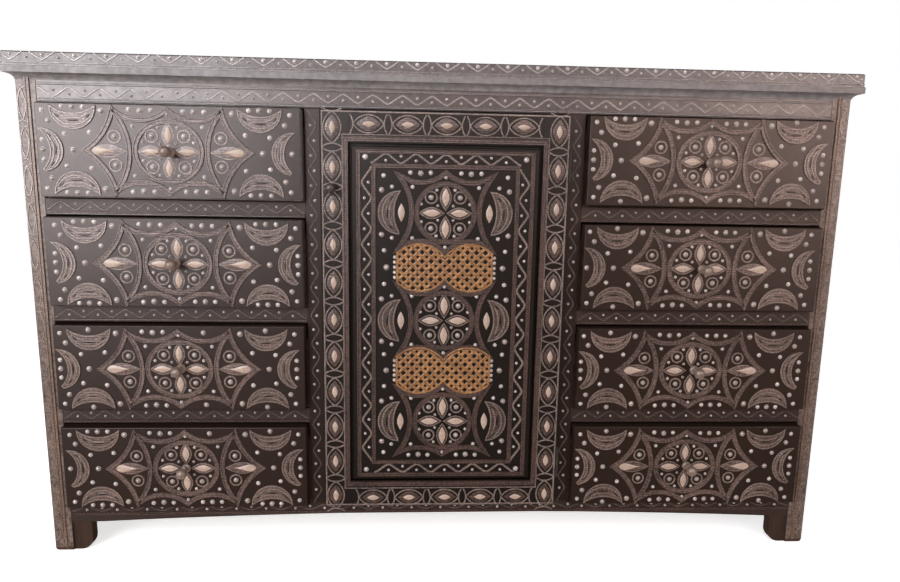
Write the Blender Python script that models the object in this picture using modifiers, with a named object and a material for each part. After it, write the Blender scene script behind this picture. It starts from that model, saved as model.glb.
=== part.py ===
"""Moroccan-style sideboard: four drawers on each side of a framed door, on bracket feet.

Metres, +Z up, the front faces -Y and the origin lies on the floor under the middle of the whole object.
Each piece is one object. The carcass stands still, each drawer slides out along -Y, and the door
turns on two lift-off hinges at its right-hand edge.
"""

import math

import bmesh
import bpy
from mathutils import Matrix, Vector

# Carcass
BODY_WIDTH = 1.500
BODY_DEPTH = 0.420
TOTAL_HEIGHT = 0.930
SIDE_THICK = 0.034
PARTITION_THICK = 0.028
DOOR_OPENING_WIDTH = 0.454
TOP_THICK = 0.026
TOP_FRONT_OVERHANG = 0.016
TOP_SIDE_OVERHANG = 0.012
TOP_EDGE_ROUND = 0.002
CORNICE_HEIGHT = 0.010
CORNICE_SET_BACK = 0.002
CORNICE_ROUND = 0.008
BACK_THICK = 0.008
BOTTOM_THICK = 0.018
SHELF_THICK = 0.018
SHELF_SET_BACK = 0.030

# Front rails, between one drawer opening and the next
DRAWER_ROWS = 4
RAIL_HEIGHT = 0.028
RAIL_DEPTH = 0.022
TOP_RAIL_HEIGHT = 0.055
BOTTOM_RAIL_HEIGHT = 0.034
BOTTOM_RAIL_RISE = 0.0145
BOTTOM_RAIL_FLAT_END = 0.056
RUNNER_THICK = 0.012

# Bracket feet, cut from the side boards
FOOT_HEIGHT = 0.059
FOOT_DEPTH = 0.090
FOOT_ROUND = 0.030
ARCH_ROUND = 0.012
FOOT_BLOCK_WIDTH = 0.038
FOOT_BLOCK_SET_BACK = 0.003
FOOT_BLOCK_ROUND = 0.018

# Drawers
FRONT_PROUD = 0.018
FRONT_THICK = 0.024
FRONT_EDGE_ROUND = 0.0025
DRAWER_GAP = 0.003
BOX_SIDE_CLEAR = 0.002
BOX_TOP_CLEAR = 0.033
BOX_LENGTH = 0.380
BOX_WALL = 0.012
BOX_FLOOR = 0.008

# Turned knobs
KNOB_REACH = 0.036
KNOB_RADIUS = 0.010
KNOB_NECK_RADIUS = 0.005
KNOB_FOOT_RADIUS = 0.0085
KNOB_FOOT_HEIGHT = 0.005
DOOR_KNOB_REACH = 0.024
DOOR_KNOB_RADIUS = 0.009
DOOR_KNOB_FROM_TOP = 0.137
DOOR_KNOB_FROM_EDGE = 0.018

# Door: a frame of stiles and rails, grooved for a panel with a raised field
DOOR_GAP = 0.003
DOOR_END_GAP = 0.004
STILE_WIDTH = 0.049
DOOR_TOP_RAIL = 0.056
DOOR_BOTTOM_RAIL = 0.052
TONGUE_LENGTH = 0.009
TONGUE_THICK = 0.006
TONGUE_SET_BACK = 0.008
TONGUE_HAUNCH = 0.006
GROOVE_SPARE = 0.0005
MOAT_WIDTH = 0.0115
FIELD_PROUD = 0.004
FIELD_CHAMFER = 0.002

# Pierced lattice plates on the door's field
LATTICE_HALF_WIDTH = 0.0875
LATTICE_END = 0.0270
LATTICE_WAIST = 0.0195
LATTICE_LOBE_RISE = 0.0205
LATTICE_THICK = 0.002
LATTICE_RIM = 0.0015
LATTICE_PITCH = 0.0166
LATTICE_ROW_SHIFT = -0.0049
LATTICE_LARGE_HOLE = 0.0104
LATTICE_SMALL_HOLE = 0.0068
LATTICE_FROM_MIDDLE = 0.0975

# Lift-off hinges
HINGE_KNUCKLE_HEIGHT = 0.030
HINGE_KNUCKLE_RADIUS = 0.0026
HINGE_PIN_RADIUS = 0.0012
HINGE_BORE_CLEAR = 0.0003
HINGE_LEAF_THICK = 0.001
HINGE_DOOR_LEAF_REACH = 0.020
HINGE_FRAME_LEAF_REACH = 0.034
HINGE_FROM_DOOR_END = 0.090

# Fits and facets
GAP = 0.0003
HINGE_FACE_CLEAR = 0.0006
EDGE_SEGMENTS = 2
ARC_STEPS = 6
LOBE_STEPS = 14
TURN_STEPS = 18
KNUCKLE_STEPS = 16
WELD = 0.00001

# Places that follow from the sizes above
FRONT_Y = (FRONT_PROUD + GAP + KNOB_REACH - BODY_DEPTH) / 2
BACK_Y = FRONT_Y + BODY_DEPTH
FACE_Y = FRONT_Y - FRONT_PROUD
SIDE_INNER_X = BODY_WIDTH / 2 - SIDE_THICK
DOOR_OPENING_X = DOOR_OPENING_WIDTH / 2
PARTITION_OUTER_X = DOOR_OPENING_X + PARTITION_THICK
BODY_TOP_Z = TOTAL_HEIGHT - TOP_THICK
OPENINGS_TOP_Z = BODY_TOP_Z - TOP_RAIL_HEIGHT
OPENINGS_BOTTOM_Z = FOOT_HEIGHT + BOTTOM_RAIL_HEIGHT
ROW_PITCH = (OPENINGS_TOP_Z - OPENINGS_BOTTOM_Z + RAIL_HEIGHT) / DRAWER_ROWS
DRAWER_OPENING_HEIGHT = ROW_PITCH - RAIL_HEIGHT
BOX_HEIGHT = DRAWER_OPENING_HEIGHT - BOX_TOP_CLEAR
INSIDE_FRONT_Y = FRONT_Y + RAIL_DEPTH + GAP
INSIDE_BACK_Y = BACK_Y - BACK_THICK - GAP
DOOR_HALF_WIDTH = DOOR_OPENING_X - DOOR_GAP
DOOR_TOP_Z = OPENINGS_TOP_Z - DOOR_END_GAP
DOOR_BOTTOM_Z = OPENINGS_BOTTOM_Z + DOOR_END_GAP
FRAME_INNER_X = DOOR_HALF_WIDTH - STILE_WIDTH
PANEL_TOP_Z = DOOR_TOP_Z - DOOR_TOP_RAIL
PANEL_BOTTOM_Z = DOOR_BOTTOM_Z + DOOR_BOTTOM_RAIL
PANEL_MIDDLE_Z = (PANEL_TOP_Z + PANEL_BOTTOM_Z) / 2
TONGUE_Y = FACE_Y + TONGUE_SET_BACK
FIELD_Y = FACE_Y - FIELD_PROUD
HINGE_X = DOOR_HALF_WIDTH + DOOR_GAP / 2
HINGE_Y = FACE_Y - HINGE_KNUCKLE_RADIUS - HINGE_FACE_CLEAR

# Name: base colour, metallic value, roughness
FINISHES = {
    "clad_front": ((0.045, 0.033, 0.028), 0.75, 0.45),
    "dark_wood": ((0.050, 0.030, 0.022), 0.00, 0.60),
    "inner_wood": ((0.220, 0.120, 0.060), 0.00, 0.70),
    "knob_metal": ((0.070, 0.052, 0.045), 0.90, 0.40),
    "lattice_brass": ((0.420, 0.210, 0.080), 0.90, 0.38),
    "hinge_steel": ((0.200, 0.180, 0.160), 1.00, 0.40),
}

# Turns that carry a flat outline's own axes to the object's axes
LYING = (0.0, 0.0, 0.0)
FACING_FRONT = (math.pi / 2, 0.0, 0.0)
FACING_SIDE = (math.pi / 2, 0.0, math.pi / 2)


def clear_scene():
    """Empties the scene and makes the two collections, one for the parts and one for the cutters."""
    for old in list(bpy.data.objects):
        bpy.data.objects.remove(old, do_unlink=True)
    made = []
    for name in ("moroccan_sideboard", "cutters"):
        collection = bpy.data.collections.new(name)
        bpy.context.scene.collection.children.link(collection)
        made.append(collection)
    return made


def make_finishes():
    """One Principled material for each named finish."""
    made = {}
    for name, (color, metallic, roughness) in FINISHES.items():
        material = bpy.data.materials.new(name)
        material.use_nodes = True
        shader = material.node_tree.nodes["Principled BSDF"]
        shader.inputs["Base Color"].default_value = (*color, 1.0)
        shader.inputs["Metallic"].default_value = metallic
        shader.inputs["Roughness"].default_value = roughness
        made[name] = material
    return made


PARTS, CUTTERS = clear_scene()
MATERIALS = make_finishes()


def carrier(name, place):
    """An empty that a moving group hangs on."""
    empty = bpy.data.objects.new(name, None)
    empty.location = place
    PARTS.objects.link(empty)
    return empty


def add_object(name, mesh, place, finish, parent=None):
    """Puts a mesh in the scene as a named part, at a place given in the object's own frame."""
    if not mesh.materials:
        mesh.materials.append(MATERIALS[finish])
    part = bpy.data.objects.new(name, mesh)
    part.parent = parent
    part.location = Vector(place) - (parent.location if parent else Vector())
    PARTS.objects.link(part)
    return part


def to_mesh(name, shape):
    """Turns a bmesh into a mesh and frees it."""
    mesh = bpy.data.meshes.new(name)
    shape.to_mesh(mesh)
    shape.free()
    return mesh


def round_edges(part, width):
    """Rounds every sharp edge of a part."""
    bevel = part.modifiers.new("round", "BEVEL")
    bevel.width = width
    bevel.segments = EDGE_SEGMENTS
    bevel.limit_method = "ANGLE"


def cuboid(x_span, y_span, z_span):
    """A box filling three spans, as a bmesh about its own middle, with that middle."""
    spans = (x_span, y_span, z_span)
    size = [high - low for low, high in spans]
    middle = [(low + high) / 2 for low, high in spans]
    shape = bmesh.new()
    bmesh.ops.create_cube(shape, size=1.0, matrix=Matrix.Diagonal((*size, 1.0)))
    return shape, middle


def board(name, x_span, y_span, z_span, finish, parent=None):
    """A flat board filling three spans."""
    shape, middle = cuboid(x_span, y_span, z_span)
    return add_object(name, to_mesh(name, shape), middle, finish, parent)


def face_towards(shape, direction):
    """The face of a shape that lies furthest in one direction."""
    return max(shape.faces, key=lambda face: face.calc_center_median().dot(direction))


def open_box(name, x_span, y_span, z_span, finish, parent):
    """A drawer's box, open at the top: a block whose top face is inset and pushed down to the floor."""
    shape, middle = cuboid(x_span, y_span, z_span)
    top = face_towards(shape, Vector((0, 0, 1)))
    bmesh.ops.inset_region(shape, faces=[top], thickness=BOX_WALL)
    depth = z_span[1] - z_span[0] - BOX_FLOOR
    bmesh.ops.translate(shape, verts=top.verts, vec=(0, 0, -depth))
    return add_object(name, to_mesh(name, shape), middle, finish, parent)


def arc(centre, radius, start, end, steps=ARC_STEPS):
    """Points along an arc, with the angles in degrees."""
    angles = [math.radians(start + (end - start) * step / steps) for step in range(steps + 1)]
    return [(centre[0] + radius * math.cos(a), centre[1] + radius * math.sin(a)) for a in angles]


def arc_over(start, end, rise, steps):
    """Points from start to end along the circular arc that rises above the line between them."""
    chord = end[0] - start[0]
    radius = (chord * chord / 4 + rise * rise) / (2 * rise)
    half_angle = math.degrees(math.asin(abs(chord) / (2 * radius)))
    centre = (start[0] + chord / 2, start[1] + rise - radius)
    turn = half_angle if chord > 0 else -half_angle
    return arc(centre, radius, 90 + turn, 90 - turn, steps)


def outline_mesh(name, loops, thickness):
    """The solid between closed loops, drawn out evenly to both sides of their plane."""
    curve = bpy.data.curves.new(name, "CURVE")
    curve.dimensions = "2D"
    curve.fill_mode = "BOTH"
    curve.extrude = thickness / 2
    for loop in loops:
        spline = curve.splines.new("POLY")
        spline.points.add(len(loop) - 1)
        for point, (u, v) in zip(spline.points, loop):
            point.co = (u, v, 0.0, 1.0)
        spline.use_cyclic_u = True
    guide = bpy.data.objects.new(name, curve)
    bpy.context.scene.collection.objects.link(guide)
    graph = bpy.context.evaluated_depsgraph_get()
    mesh = bpy.data.meshes.new_from_object(guide.evaluated_get(graph))
    bpy.data.objects.remove(guide, do_unlink=True)
    shape = bmesh.new()
    shape.from_mesh(mesh)
    bmesh.ops.remove_doubles(shape, verts=shape.verts, dist=WELD)
    bmesh.ops.recalc_face_normals(shape, faces=shape.faces)
    shape.to_mesh(mesh)
    shape.free()
    return mesh


def outlined(name, loops, thickness, place, turn, finish, parent=None):
    """A part cut from a flat outline, turned to face its way."""
    part = add_object(name, outline_mesh(name, loops, thickness), place, finish, parent)
    part.rotation_euler = turn
    return part


def turned(name, profile, place, finish, parent):
    """A turned piece: pairs of radius and height from the tip to the foot, with its tip to the front."""
    shape = bmesh.new()
    points = [shape.verts.new((radius, 0.0, height)) for radius, height in profile]
    for upper, lower in zip(points, points[1:]):
        shape.edges.new((upper, lower))
    part = add_object(name, to_mesh(name, shape), place, finish, parent)
    part.rotation_euler = FACING_FRONT
    screw = part.modifiers.new("turn", "SCREW")
    screw.steps = TURN_STEPS
    screw.render_steps = TURN_STEPS
    screw.use_merge_vertices = True
    screw.merge_threshold = WELD
    return part


def knob_profile(reach, radius):
    """A round head on a waisted neck and a stepped foot."""
    head_z = reach - radius
    head = [(radius * math.cos(math.radians(a)), head_z + radius * math.sin(math.radians(a)))
            for a in (90, 65, 40, 15, -10, -35)]
    head[0] = (0.0, reach)
    neck_low = KNOB_FOOT_HEIGHT * 1.4
    neck = [(KNOB_NECK_RADIUS, head_z - radius * 0.85), (KNOB_NECK_RADIUS, neck_low)]
    foot = [(KNOB_FOOT_RADIUS, KNOB_FOOT_HEIGHT), (KNOB_FOOT_RADIUS, 0.0), (0.0, 0.0)]
    return head + neck + foot


def boolean(part, cutter_mesh, place, operation):
    """Cuts a part with a mesh, or joins them, through a hidden cutter object."""
    cutter = bpy.data.objects.new(part.name + "_" + operation.lower(), cutter_mesh)
    cutter.location = place
    cutter.hide_render = True
    cutter.display_type = "WIRE"
    CUTTERS.objects.link(cutter)
    modifier = part.modifiers.new(operation.lower(), "BOOLEAN")
    modifier.operation = operation
    modifier.solver = "EXACT"
    modifier.object = cutter


def side_outline():
    """A side board seen from the side: a tall board whose lower end is cut into two bracket feet."""
    half = [(0.0, 0.0)]
    half += arc((FOOT_DEPTH - FOOT_ROUND, FOOT_ROUND), FOOT_ROUND, -90, 0)
    half += arc((FOOT_DEPTH + ARCH_ROUND, FOOT_HEIGHT - ARCH_ROUND), ARCH_ROUND, 180, 90)
    top_z = BODY_TOP_Z - GAP
    mirrored = [(BODY_DEPTH - y, z) for y, z in reversed(half)]
    return half + mirrored + [(BODY_DEPTH, top_z), (0.0, top_z)]


def foot_block(sign, y_span):
    """A plain block that widens a foot inwards, with its lower inner edge rounded."""
    root_x = SIDE_INNER_X + SIDE_THICK / 2
    tip_x = SIDE_INNER_X - FOOT_BLOCK_WIDTH
    x_span = sorted((sign * root_x, sign * tip_x))
    shape, middle = cuboid(x_span, y_span, (0.0, FOOT_HEIGHT - GAP))

    def at_lower_tip(vertex):
        return vertex.co.z < 0 and vertex.co.x * sign < 0

    edge = [edge for edge in shape.edges if all(at_lower_tip(vertex) for vertex in edge.verts)]
    bmesh.ops.bevel(shape, geom=edge, offset=FOOT_BLOCK_ROUND, segments=ARC_STEPS, profile=0.5,
                    affect="EDGES", material=-1)
    return shape, middle


def build_sides():
    """The two side boards, which carry everything and run down into the feet."""
    block_depth = FOOT_DEPTH - FOOT_ROUND - FOOT_BLOCK_SET_BACK
    front_y = FRONT_Y + FOOT_BLOCK_SET_BACK
    back_y = BACK_Y - FOOT_BLOCK_SET_BACK
    for name, sign in (("left_side", -1), ("right_side", 1)):
        middle_x = sign * (BODY_WIDTH - SIDE_THICK) / 2
        place = (middle_x, FRONT_Y, 0.0)
        side = outlined(name, [side_outline()], SIDE_THICK, place, FACING_SIDE, "dark_wood")
        for y_span in ((front_y, front_y + block_depth), (back_y - block_depth, back_y)):
            shape, middle = foot_block(sign, y_span)
            boolean(side, to_mesh(name + "_foot_block", shape), middle, "UNION")


def build_partitions():
    """The two uprights beside the door, notched at the top for the top rail."""
    low_z = OPENINGS_BOTTOM_Z + GAP
    notch_z = OPENINGS_TOP_Z - GAP
    top_z = BODY_TOP_Z - GAP
    front_y = 0.0
    inner_y = INSIDE_FRONT_Y - FRONT_Y
    back_y = INSIDE_BACK_Y - FRONT_Y
    outline = [(front_y, low_z), (back_y, low_z), (back_y, top_z), (inner_y, top_z), (inner_y, notch_z),
               (front_y, notch_z)]
    for name, sign in (("left_partition", -1), ("right_partition", 1)):
        middle_x = sign * (DOOR_OPENING_X + PARTITION_THICK / 2)
        outlined(name, [outline], PARTITION_THICK, (middle_x, FRONT_Y, 0.0), FACING_SIDE, "dark_wood")


def build_boards():
    """The bottom, the back, the cupboard's shelf and the overhanging top."""
    inside_x = (-SIDE_INNER_X + GAP, SIDE_INNER_X - GAP)
    inside_y = (INSIDE_FRONT_Y, INSIDE_BACK_Y)
    board("bottom_board", inside_x, inside_y,
          (OPENINGS_BOTTOM_Z - BOTTOM_THICK, OPENINGS_BOTTOM_Z), "inner_wood")
    board("back_panel", inside_x, (BACK_Y - BACK_THICK, BACK_Y),
          (FOOT_HEIGHT, BODY_TOP_Z - GAP), "inner_wood")
    shelf_x = DOOR_OPENING_X - GAP
    board("cupboard_shelf", (-shelf_x, shelf_x), (FRONT_Y + SHELF_SET_BACK, INSIDE_BACK_Y),
          (PANEL_MIDDLE_Z - SHELF_THICK / 2, PANEL_MIDDLE_Z + SHELF_THICK / 2), "inner_wood")
    top_x = BODY_WIDTH / 2 + TOP_SIDE_OVERHANG
    top = board("top_board", (-top_x, top_x), (FRONT_Y - TOP_FRONT_OVERHANG, BACK_Y),
                (BODY_TOP_Z, TOTAL_HEIGHT), "dark_wood")
    round_edges(top, TOP_EDGE_ROUND)


def build_cornice():
    """The moulding under the overhang: one mitred strip round the front and both sides."""
    inner_x = BODY_WIDTH / 2 + GAP
    outer_x = BODY_WIDTH / 2 + TOP_SIDE_OVERHANG - CORNICE_SET_BACK
    inner_y = FRONT_Y - GAP
    outer_y = FRONT_Y - TOP_FRONT_OVERHANG + CORNICE_SET_BACK
    outline = [(-outer_x, BACK_Y), (-outer_x, outer_y), (outer_x, outer_y), (outer_x, BACK_Y),
               (inner_x, BACK_Y), (inner_x, inner_y), (-inner_x, inner_y), (-inner_x, BACK_Y)]
    height = CORNICE_HEIGHT - GAP
    middle_z = BODY_TOP_Z - GAP - height / 2
    mesh = outline_mesh("cornice", [outline], height)
    shape = bmesh.new()
    shape.from_mesh(mesh)

    def on_outer_rim(vertex):
        at_outside = abs(abs(vertex.co.x) - outer_x) < WELD or abs(vertex.co.y - outer_y) < WELD
        return vertex.co.z < 0 and at_outside

    def is_rim(edge):
        at_back = all(abs(vertex.co.y - BACK_Y) < WELD for vertex in edge.verts)
        return not at_back and all(on_outer_rim(vertex) for vertex in edge.verts)

    rim = [edge for edge in shape.edges if is_rim(edge) and edge.calc_face_angle() > math.radians(45)]
    bmesh.ops.bevel(shape, geom=rim, offset=CORNICE_ROUND, offset_type="OFFSET", segments=2 * EDGE_SEGMENTS,
                    profile=0.5, affect="EDGES", material=-1)
    shape.to_mesh(mesh)
    shape.free()
    add_object("cornice", mesh, (0.0, 0.0, middle_z), "dark_wood")


def rail_spans(sign):
    """The span across one column of drawers, between its side board and its partition."""
    ends = sorted((sign * (PARTITION_OUTER_X + GAP), sign * (SIDE_INNER_X - GAP)))
    return tuple(ends)


def row_bottom(row):
    """The height of the lower edge of a drawer opening, with row 1 at the top."""
    return OPENINGS_TOP_Z - row * ROW_PITCH + RAIL_HEIGHT


def build_rails():
    """The front rails, and behind each short rail the board that its drawer runs on."""
    rail_y = (FRONT_Y, FRONT_Y + RAIL_DEPTH)
    full_x = SIDE_INNER_X - GAP
    board("top_rail", (-full_x, full_x), rail_y, (OPENINGS_TOP_Z, BODY_TOP_Z - GAP), "clad_front")
    arch_x = full_x - BOTTOM_RAIL_FLAT_END
    top_z = OPENINGS_BOTTOM_Z
    arch = arc_over((-arch_x, FOOT_HEIGHT), (arch_x, FOOT_HEIGHT), BOTTOM_RAIL_RISE, LOBE_STEPS)
    outline = [(full_x, FOOT_HEIGHT), (full_x, top_z), (-full_x, top_z), (-full_x, FOOT_HEIGHT)] + arch
    place = (0.0, FRONT_Y + RAIL_DEPTH / 2, 0.0)
    outlined("bottom_rail", [outline], RAIL_DEPTH, place, FACING_FRONT, "clad_front")
    for column, sign in (("left", -1), ("right", 1)):
        for row in range(1, DRAWER_ROWS):
            top_z = row_bottom(row)
            rail_z = (top_z - RAIL_HEIGHT, top_z)
            board(f"{column}_rail_{row}", rail_spans(sign), rail_y, rail_z, "clad_front")
            board(f"{column}_runner_{row}", rail_spans(sign), (INSIDE_FRONT_Y, INSIDE_BACK_Y),
                  (top_z - RUNNER_THICK, top_z), "inner_wood")


def build_drawer(name, sign, row):
    """One drawer: a clad front that stands proud of the rails, its box and its knob."""
    opening_x = sorted((sign * PARTITION_OUTER_X, sign * SIDE_INNER_X))
    opening_z = (row_bottom(row), row_bottom(row) + DRAWER_OPENING_HEIGHT)
    middle = (sum(opening_x) / 2, FACE_Y, sum(opening_z) / 2)
    group = carrier(name + "_slide", middle)
    front = board(name + "_front", (opening_x[0] + DRAWER_GAP, opening_x[1] - DRAWER_GAP),
                  (FACE_Y, FACE_Y + FRONT_THICK), (opening_z[0] + DRAWER_GAP, opening_z[1] - DRAWER_GAP),
                  "clad_front", group)
    round_edges(front, FRONT_EDGE_ROUND)
    box_front_y = FACE_Y + FRONT_THICK + GAP
    box_bottom_z = opening_z[0] + GAP
    open_box(name + "_box", (opening_x[0] + BOX_SIDE_CLEAR, opening_x[1] - BOX_SIDE_CLEAR),
             (box_front_y, box_front_y + BOX_LENGTH), (box_bottom_z, box_bottom_z + BOX_HEIGHT),
             "inner_wood", group)
    turned(name + "_knob", knob_profile(KNOB_REACH, KNOB_RADIUS), (middle[0], FACE_Y - GAP, middle[2]),
           "knob_metal", group)


def build_drawers():
    """The eight drawers, column by column from the top."""
    for column, sign in (("left", -1), ("right", 1)):
        for row in range(1, DRAWER_ROWS + 1):
            build_drawer(f"{column}_drawer_{row}", sign, row)


def build_stiles(door):
    """The door's two uprights, grooved along the inner edge for the panel and the rails' tongues."""
    half_width = STILE_WIDTH / 2
    half_thick = FRONT_THICK / 2
    groove_x = half_width - TONGUE_LENGTH - GROOVE_SPARE
    groove_low = -half_thick + TONGUE_SET_BACK - GAP
    groove_high = groove_low + TONGUE_THICK + 2 * GAP
    outline = [(-half_width, -half_thick), (half_width, -half_thick), (half_width, groove_low),
               (groove_x, groove_low), (groove_x, groove_high), (half_width, groove_high),
               (half_width, half_thick), (-half_width, half_thick)]
    mirrored = [(-x, y) for x, y in reversed(outline)]
    height = DOOR_TOP_Z - DOOR_BOTTOM_Z
    middle_y = FACE_Y + half_thick
    middle_z = (DOOR_TOP_Z + DOOR_BOTTOM_Z) / 2
    for name, sign, loop in (("door_left_stile", -1, outline), ("door_right_stile", 1, mirrored)):
        place = (sign * (DOOR_HALF_WIDTH - half_width), middle_y, middle_z)
        outlined(name, [loop], height, place, LYING, "clad_front", door)


def build_door_rails(door):
    """The door's two cross rails, grooved for the panel, with a tongue at each end for the stiles."""
    half_thick = FRONT_THICK / 2
    groove_low = -half_thick + TONGUE_SET_BACK - GAP
    groove_high = groove_low + TONGUE_THICK + 2 * GAP
    groove_depth = TONGUE_LENGTH + GROOVE_SPARE
    length = 2 * (FRAME_INNER_X - GAP)
    tongue_x = FRAME_INNER_X + TONGUE_LENGTH
    tongue_y = (TONGUE_Y, TONGUE_Y + TONGUE_THICK)
    places = (("door_top_rail", DOOR_TOP_Z, PANEL_TOP_Z, 1),
              ("door_bottom_rail", DOOR_BOTTOM_Z, PANEL_BOTTOM_Z, -1))
    for name, outer_z, inner_z, sign in places:
        half = abs(outer_z - inner_z) / 2
        profile = [(-half_thick, -half), (groove_low, -half), (groove_low, groove_depth - half),
                   (groove_high, groove_depth - half), (groove_high, -half), (half_thick, -half),
                   (half_thick, half), (-half_thick, half)]
        loop = [(y, sign * z) for y, z in profile]
        middle = (0.0, FACE_Y + half_thick, (outer_z + inner_z) / 2)
        rail = outlined(name, [loop], length, middle, FACING_SIDE, "clad_front", door)
        tongue_z = sorted((inner_z + sign * (groove_depth + TONGUE_HAUNCH), outer_z - sign * TONGUE_HAUNCH))
        shape, tongue_middle = cuboid((-tongue_x, tongue_x), tongue_y, tongue_z)
        boolean(rail, to_mesh(name + "_tongue", shape), tongue_middle, "UNION")


def build_panel(door):
    """The door's panel: a thin tongue in the frame's grooves, a sunk moat, and a raised field."""
    half_x = FRAME_INNER_X + TONGUE_LENGTH
    z_span = (PANEL_BOTTOM_Z - TONGUE_LENGTH, PANEL_TOP_Z + TONGUE_LENGTH)
    shape, middle = cuboid((-half_x, half_x), (TONGUE_Y, TONGUE_Y + TONGUE_THICK), z_span)
    field = face_towards(shape, Vector((0, -1, 0)))
    bmesh.ops.inset_region(shape, faces=[field], thickness=TONGUE_LENGTH + MOAT_WIDTH)
    raised = bmesh.ops.extrude_discrete_faces(shape, faces=[field])["faces"][0]
    wall_height = TONGUE_Y - FIELD_Y - FIELD_CHAMFER
    bmesh.ops.translate(shape, verts=raised.verts, vec=(0, -wall_height, 0))
    bmesh.ops.inset_region(shape, faces=[raised], thickness=FIELD_CHAMFER)
    bmesh.ops.translate(shape, verts=raised.verts, vec=(0, -FIELD_CHAMFER, 0))
    add_object("door_panel", to_mesh("door_panel", shape), middle, "clad_front", door)


def lattice_top(x):
    """The height of the lattice plate's outline over its middle line, at a distance from its waist."""
    waist = Vector((0.0, LATTICE_WAIST))
    chord = Vector((LATTICE_HALF_WIDTH, LATTICE_END)) - waist
    half = chord.length / 2
    radius = (half * half + LATTICE_LOBE_RISE * LATTICE_LOBE_RISE) / (2 * LATTICE_LOBE_RISE)
    over = Vector((-chord.y, chord.x)).normalized()
    centre = waist + chord / 2 + over * (LATTICE_LOBE_RISE - radius)
    from_centre = abs(x) - centre.x
    return centre.y + math.sqrt(radius * radius - from_centre * from_centre)


def inside_lattice(x, z):
    """Whether a point lies in the lattice plate and not on its rim."""
    return abs(x) + LATTICE_RIM < LATTICE_HALF_WIDTH and abs(z) + LATTICE_RIM < lattice_top(x)


def lattice_loops():
    """The pierced plate: a two-lobed outline, large diamond holes, and small ones between them."""
    across = [LATTICE_HALF_WIDTH * (step / LOBE_STEPS - 1) for step in range(2 * LOBE_STEPS + 1)]
    upper = [(x, lattice_top(x)) for x in across]
    lower = [(x, -z) for x, z in reversed(upper)]
    loops = [upper + lower]
    steps = int(LATTICE_HALF_WIDTH / LATTICE_PITCH) + 1
    for row in range(-2 * steps, 2 * steps + 1):
        large = row % 2 == 0
        half = (LATTICE_LARGE_HOLE if large else LATTICE_SMALL_HOLE) / 2
        for column in range(-steps, steps + 1):
            x = (column + (0.5 if large else 0.0)) * LATTICE_PITCH
            z = row * LATTICE_PITCH / 2 + LATTICE_ROW_SHIFT
            hole = [(x - half, z), (x, z - half), (x + half, z), (x, z + half)]
            if all(inside_lattice(*corner) for corner in hole):
                loops.append(hole)
    return loops


def build_lattices(door):
    """The two pierced plates, fixed to the face of the door's field."""
    mesh = outline_mesh("lattice", lattice_loops(), LATTICE_THICK)
    plate_y = FIELD_Y - GAP - LATTICE_THICK / 2
    for name, sign in (("lattice_upper", 1), ("lattice_lower", -1)):
        place = (0.0, plate_y, PANEL_MIDDLE_Z + sign * LATTICE_FROM_MIDDLE)
        plate = add_object(name, mesh, place, "lattice_brass", door)
        plate.rotation_euler = FACING_FRONT


def leaf_outline(low_x, high_x, reach):
    """A hinge leaf seen from above: a round knuckle about the pin, with a flat tail along +Y."""
    start = math.degrees(math.acos(low_x / HINGE_KNUCKLE_RADIUS))
    end = 360 + math.degrees(math.acos(high_x / HINGE_KNUCKLE_RADIUS))
    knuckle = arc((0.0, 0.0), HINGE_KNUCKLE_RADIUS, start, end, KNUCKLE_STEPS)
    return knuckle + [(high_x, reach), (low_x, reach)]


def build_hinge(name, middle_z, door):
    """A lift-off hinge: the frame's leaf carries the pin, and the door's leaf drops onto it."""
    leaf_outer = DOOR_GAP / 2 - GAP
    leaf_inner = leaf_outer - HINGE_LEAF_THICK
    height = HINGE_KNUCKLE_HEIGHT - GAP
    frame_z = middle_z - HINGE_KNUCKLE_HEIGHT / 2
    door_z = middle_z + HINGE_KNUCKLE_HEIGHT / 2
    frame_loop = leaf_outline(leaf_inner, leaf_outer, HINGE_FRAME_LEAF_REACH)
    frame_leaf = outlined(name + "_frame_leaf", [frame_loop], height, (HINGE_X, HINGE_Y, frame_z), LYING,
                          "hinge_steel")
    pin = bmesh.new()
    bmesh.ops.create_cone(pin, cap_ends=True, segments=KNUCKLE_STEPS, radius1=HINGE_PIN_RADIUS,
                          radius2=HINGE_PIN_RADIUS, depth=HINGE_KNUCKLE_HEIGHT * 1.5)
    pin_z = middle_z + HINGE_KNUCKLE_HEIGHT / 4
    boolean(frame_leaf, to_mesh(name + "_pin", pin), (HINGE_X, HINGE_Y, pin_z), "UNION")
    door_loop = leaf_outline(-leaf_outer, -leaf_inner, HINGE_DOOR_LEAF_REACH)
    bore = arc((0.0, 0.0), HINGE_PIN_RADIUS + HINGE_BORE_CLEAR, 0, 360, KNUCKLE_STEPS)[:-1]
    outlined(name + "_door_leaf", [door_loop, bore], height, (HINGE_X, HINGE_Y, door_z), LYING,
             "hinge_steel", door)


def build_door():
    """The door and its hinges, hung on an empty that lies on the hinge axis."""
    door = carrier("door_swing", (HINGE_X, HINGE_Y, PANEL_MIDDLE_Z))
    build_stiles(door)
    build_door_rails(door)
    build_panel(door)
    build_lattices(door)
    knob_place = (-DOOR_HALF_WIDTH + DOOR_KNOB_FROM_EDGE, FACE_Y - GAP, DOOR_TOP_Z - DOOR_KNOB_FROM_TOP)
    turned("door_knob", knob_profile(DOOR_KNOB_REACH, DOOR_KNOB_RADIUS), knob_place, "knob_metal", door)
    build_hinge("upper_hinge", DOOR_TOP_Z - HINGE_FROM_DOOR_END, door)
    build_hinge("lower_hinge", DOOR_BOTTOM_Z + HINGE_FROM_DOOR_END, door)


build_sides()
build_partitions()
build_boards()
build_cornice()
build_rails()
build_drawers()
build_door()
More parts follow.
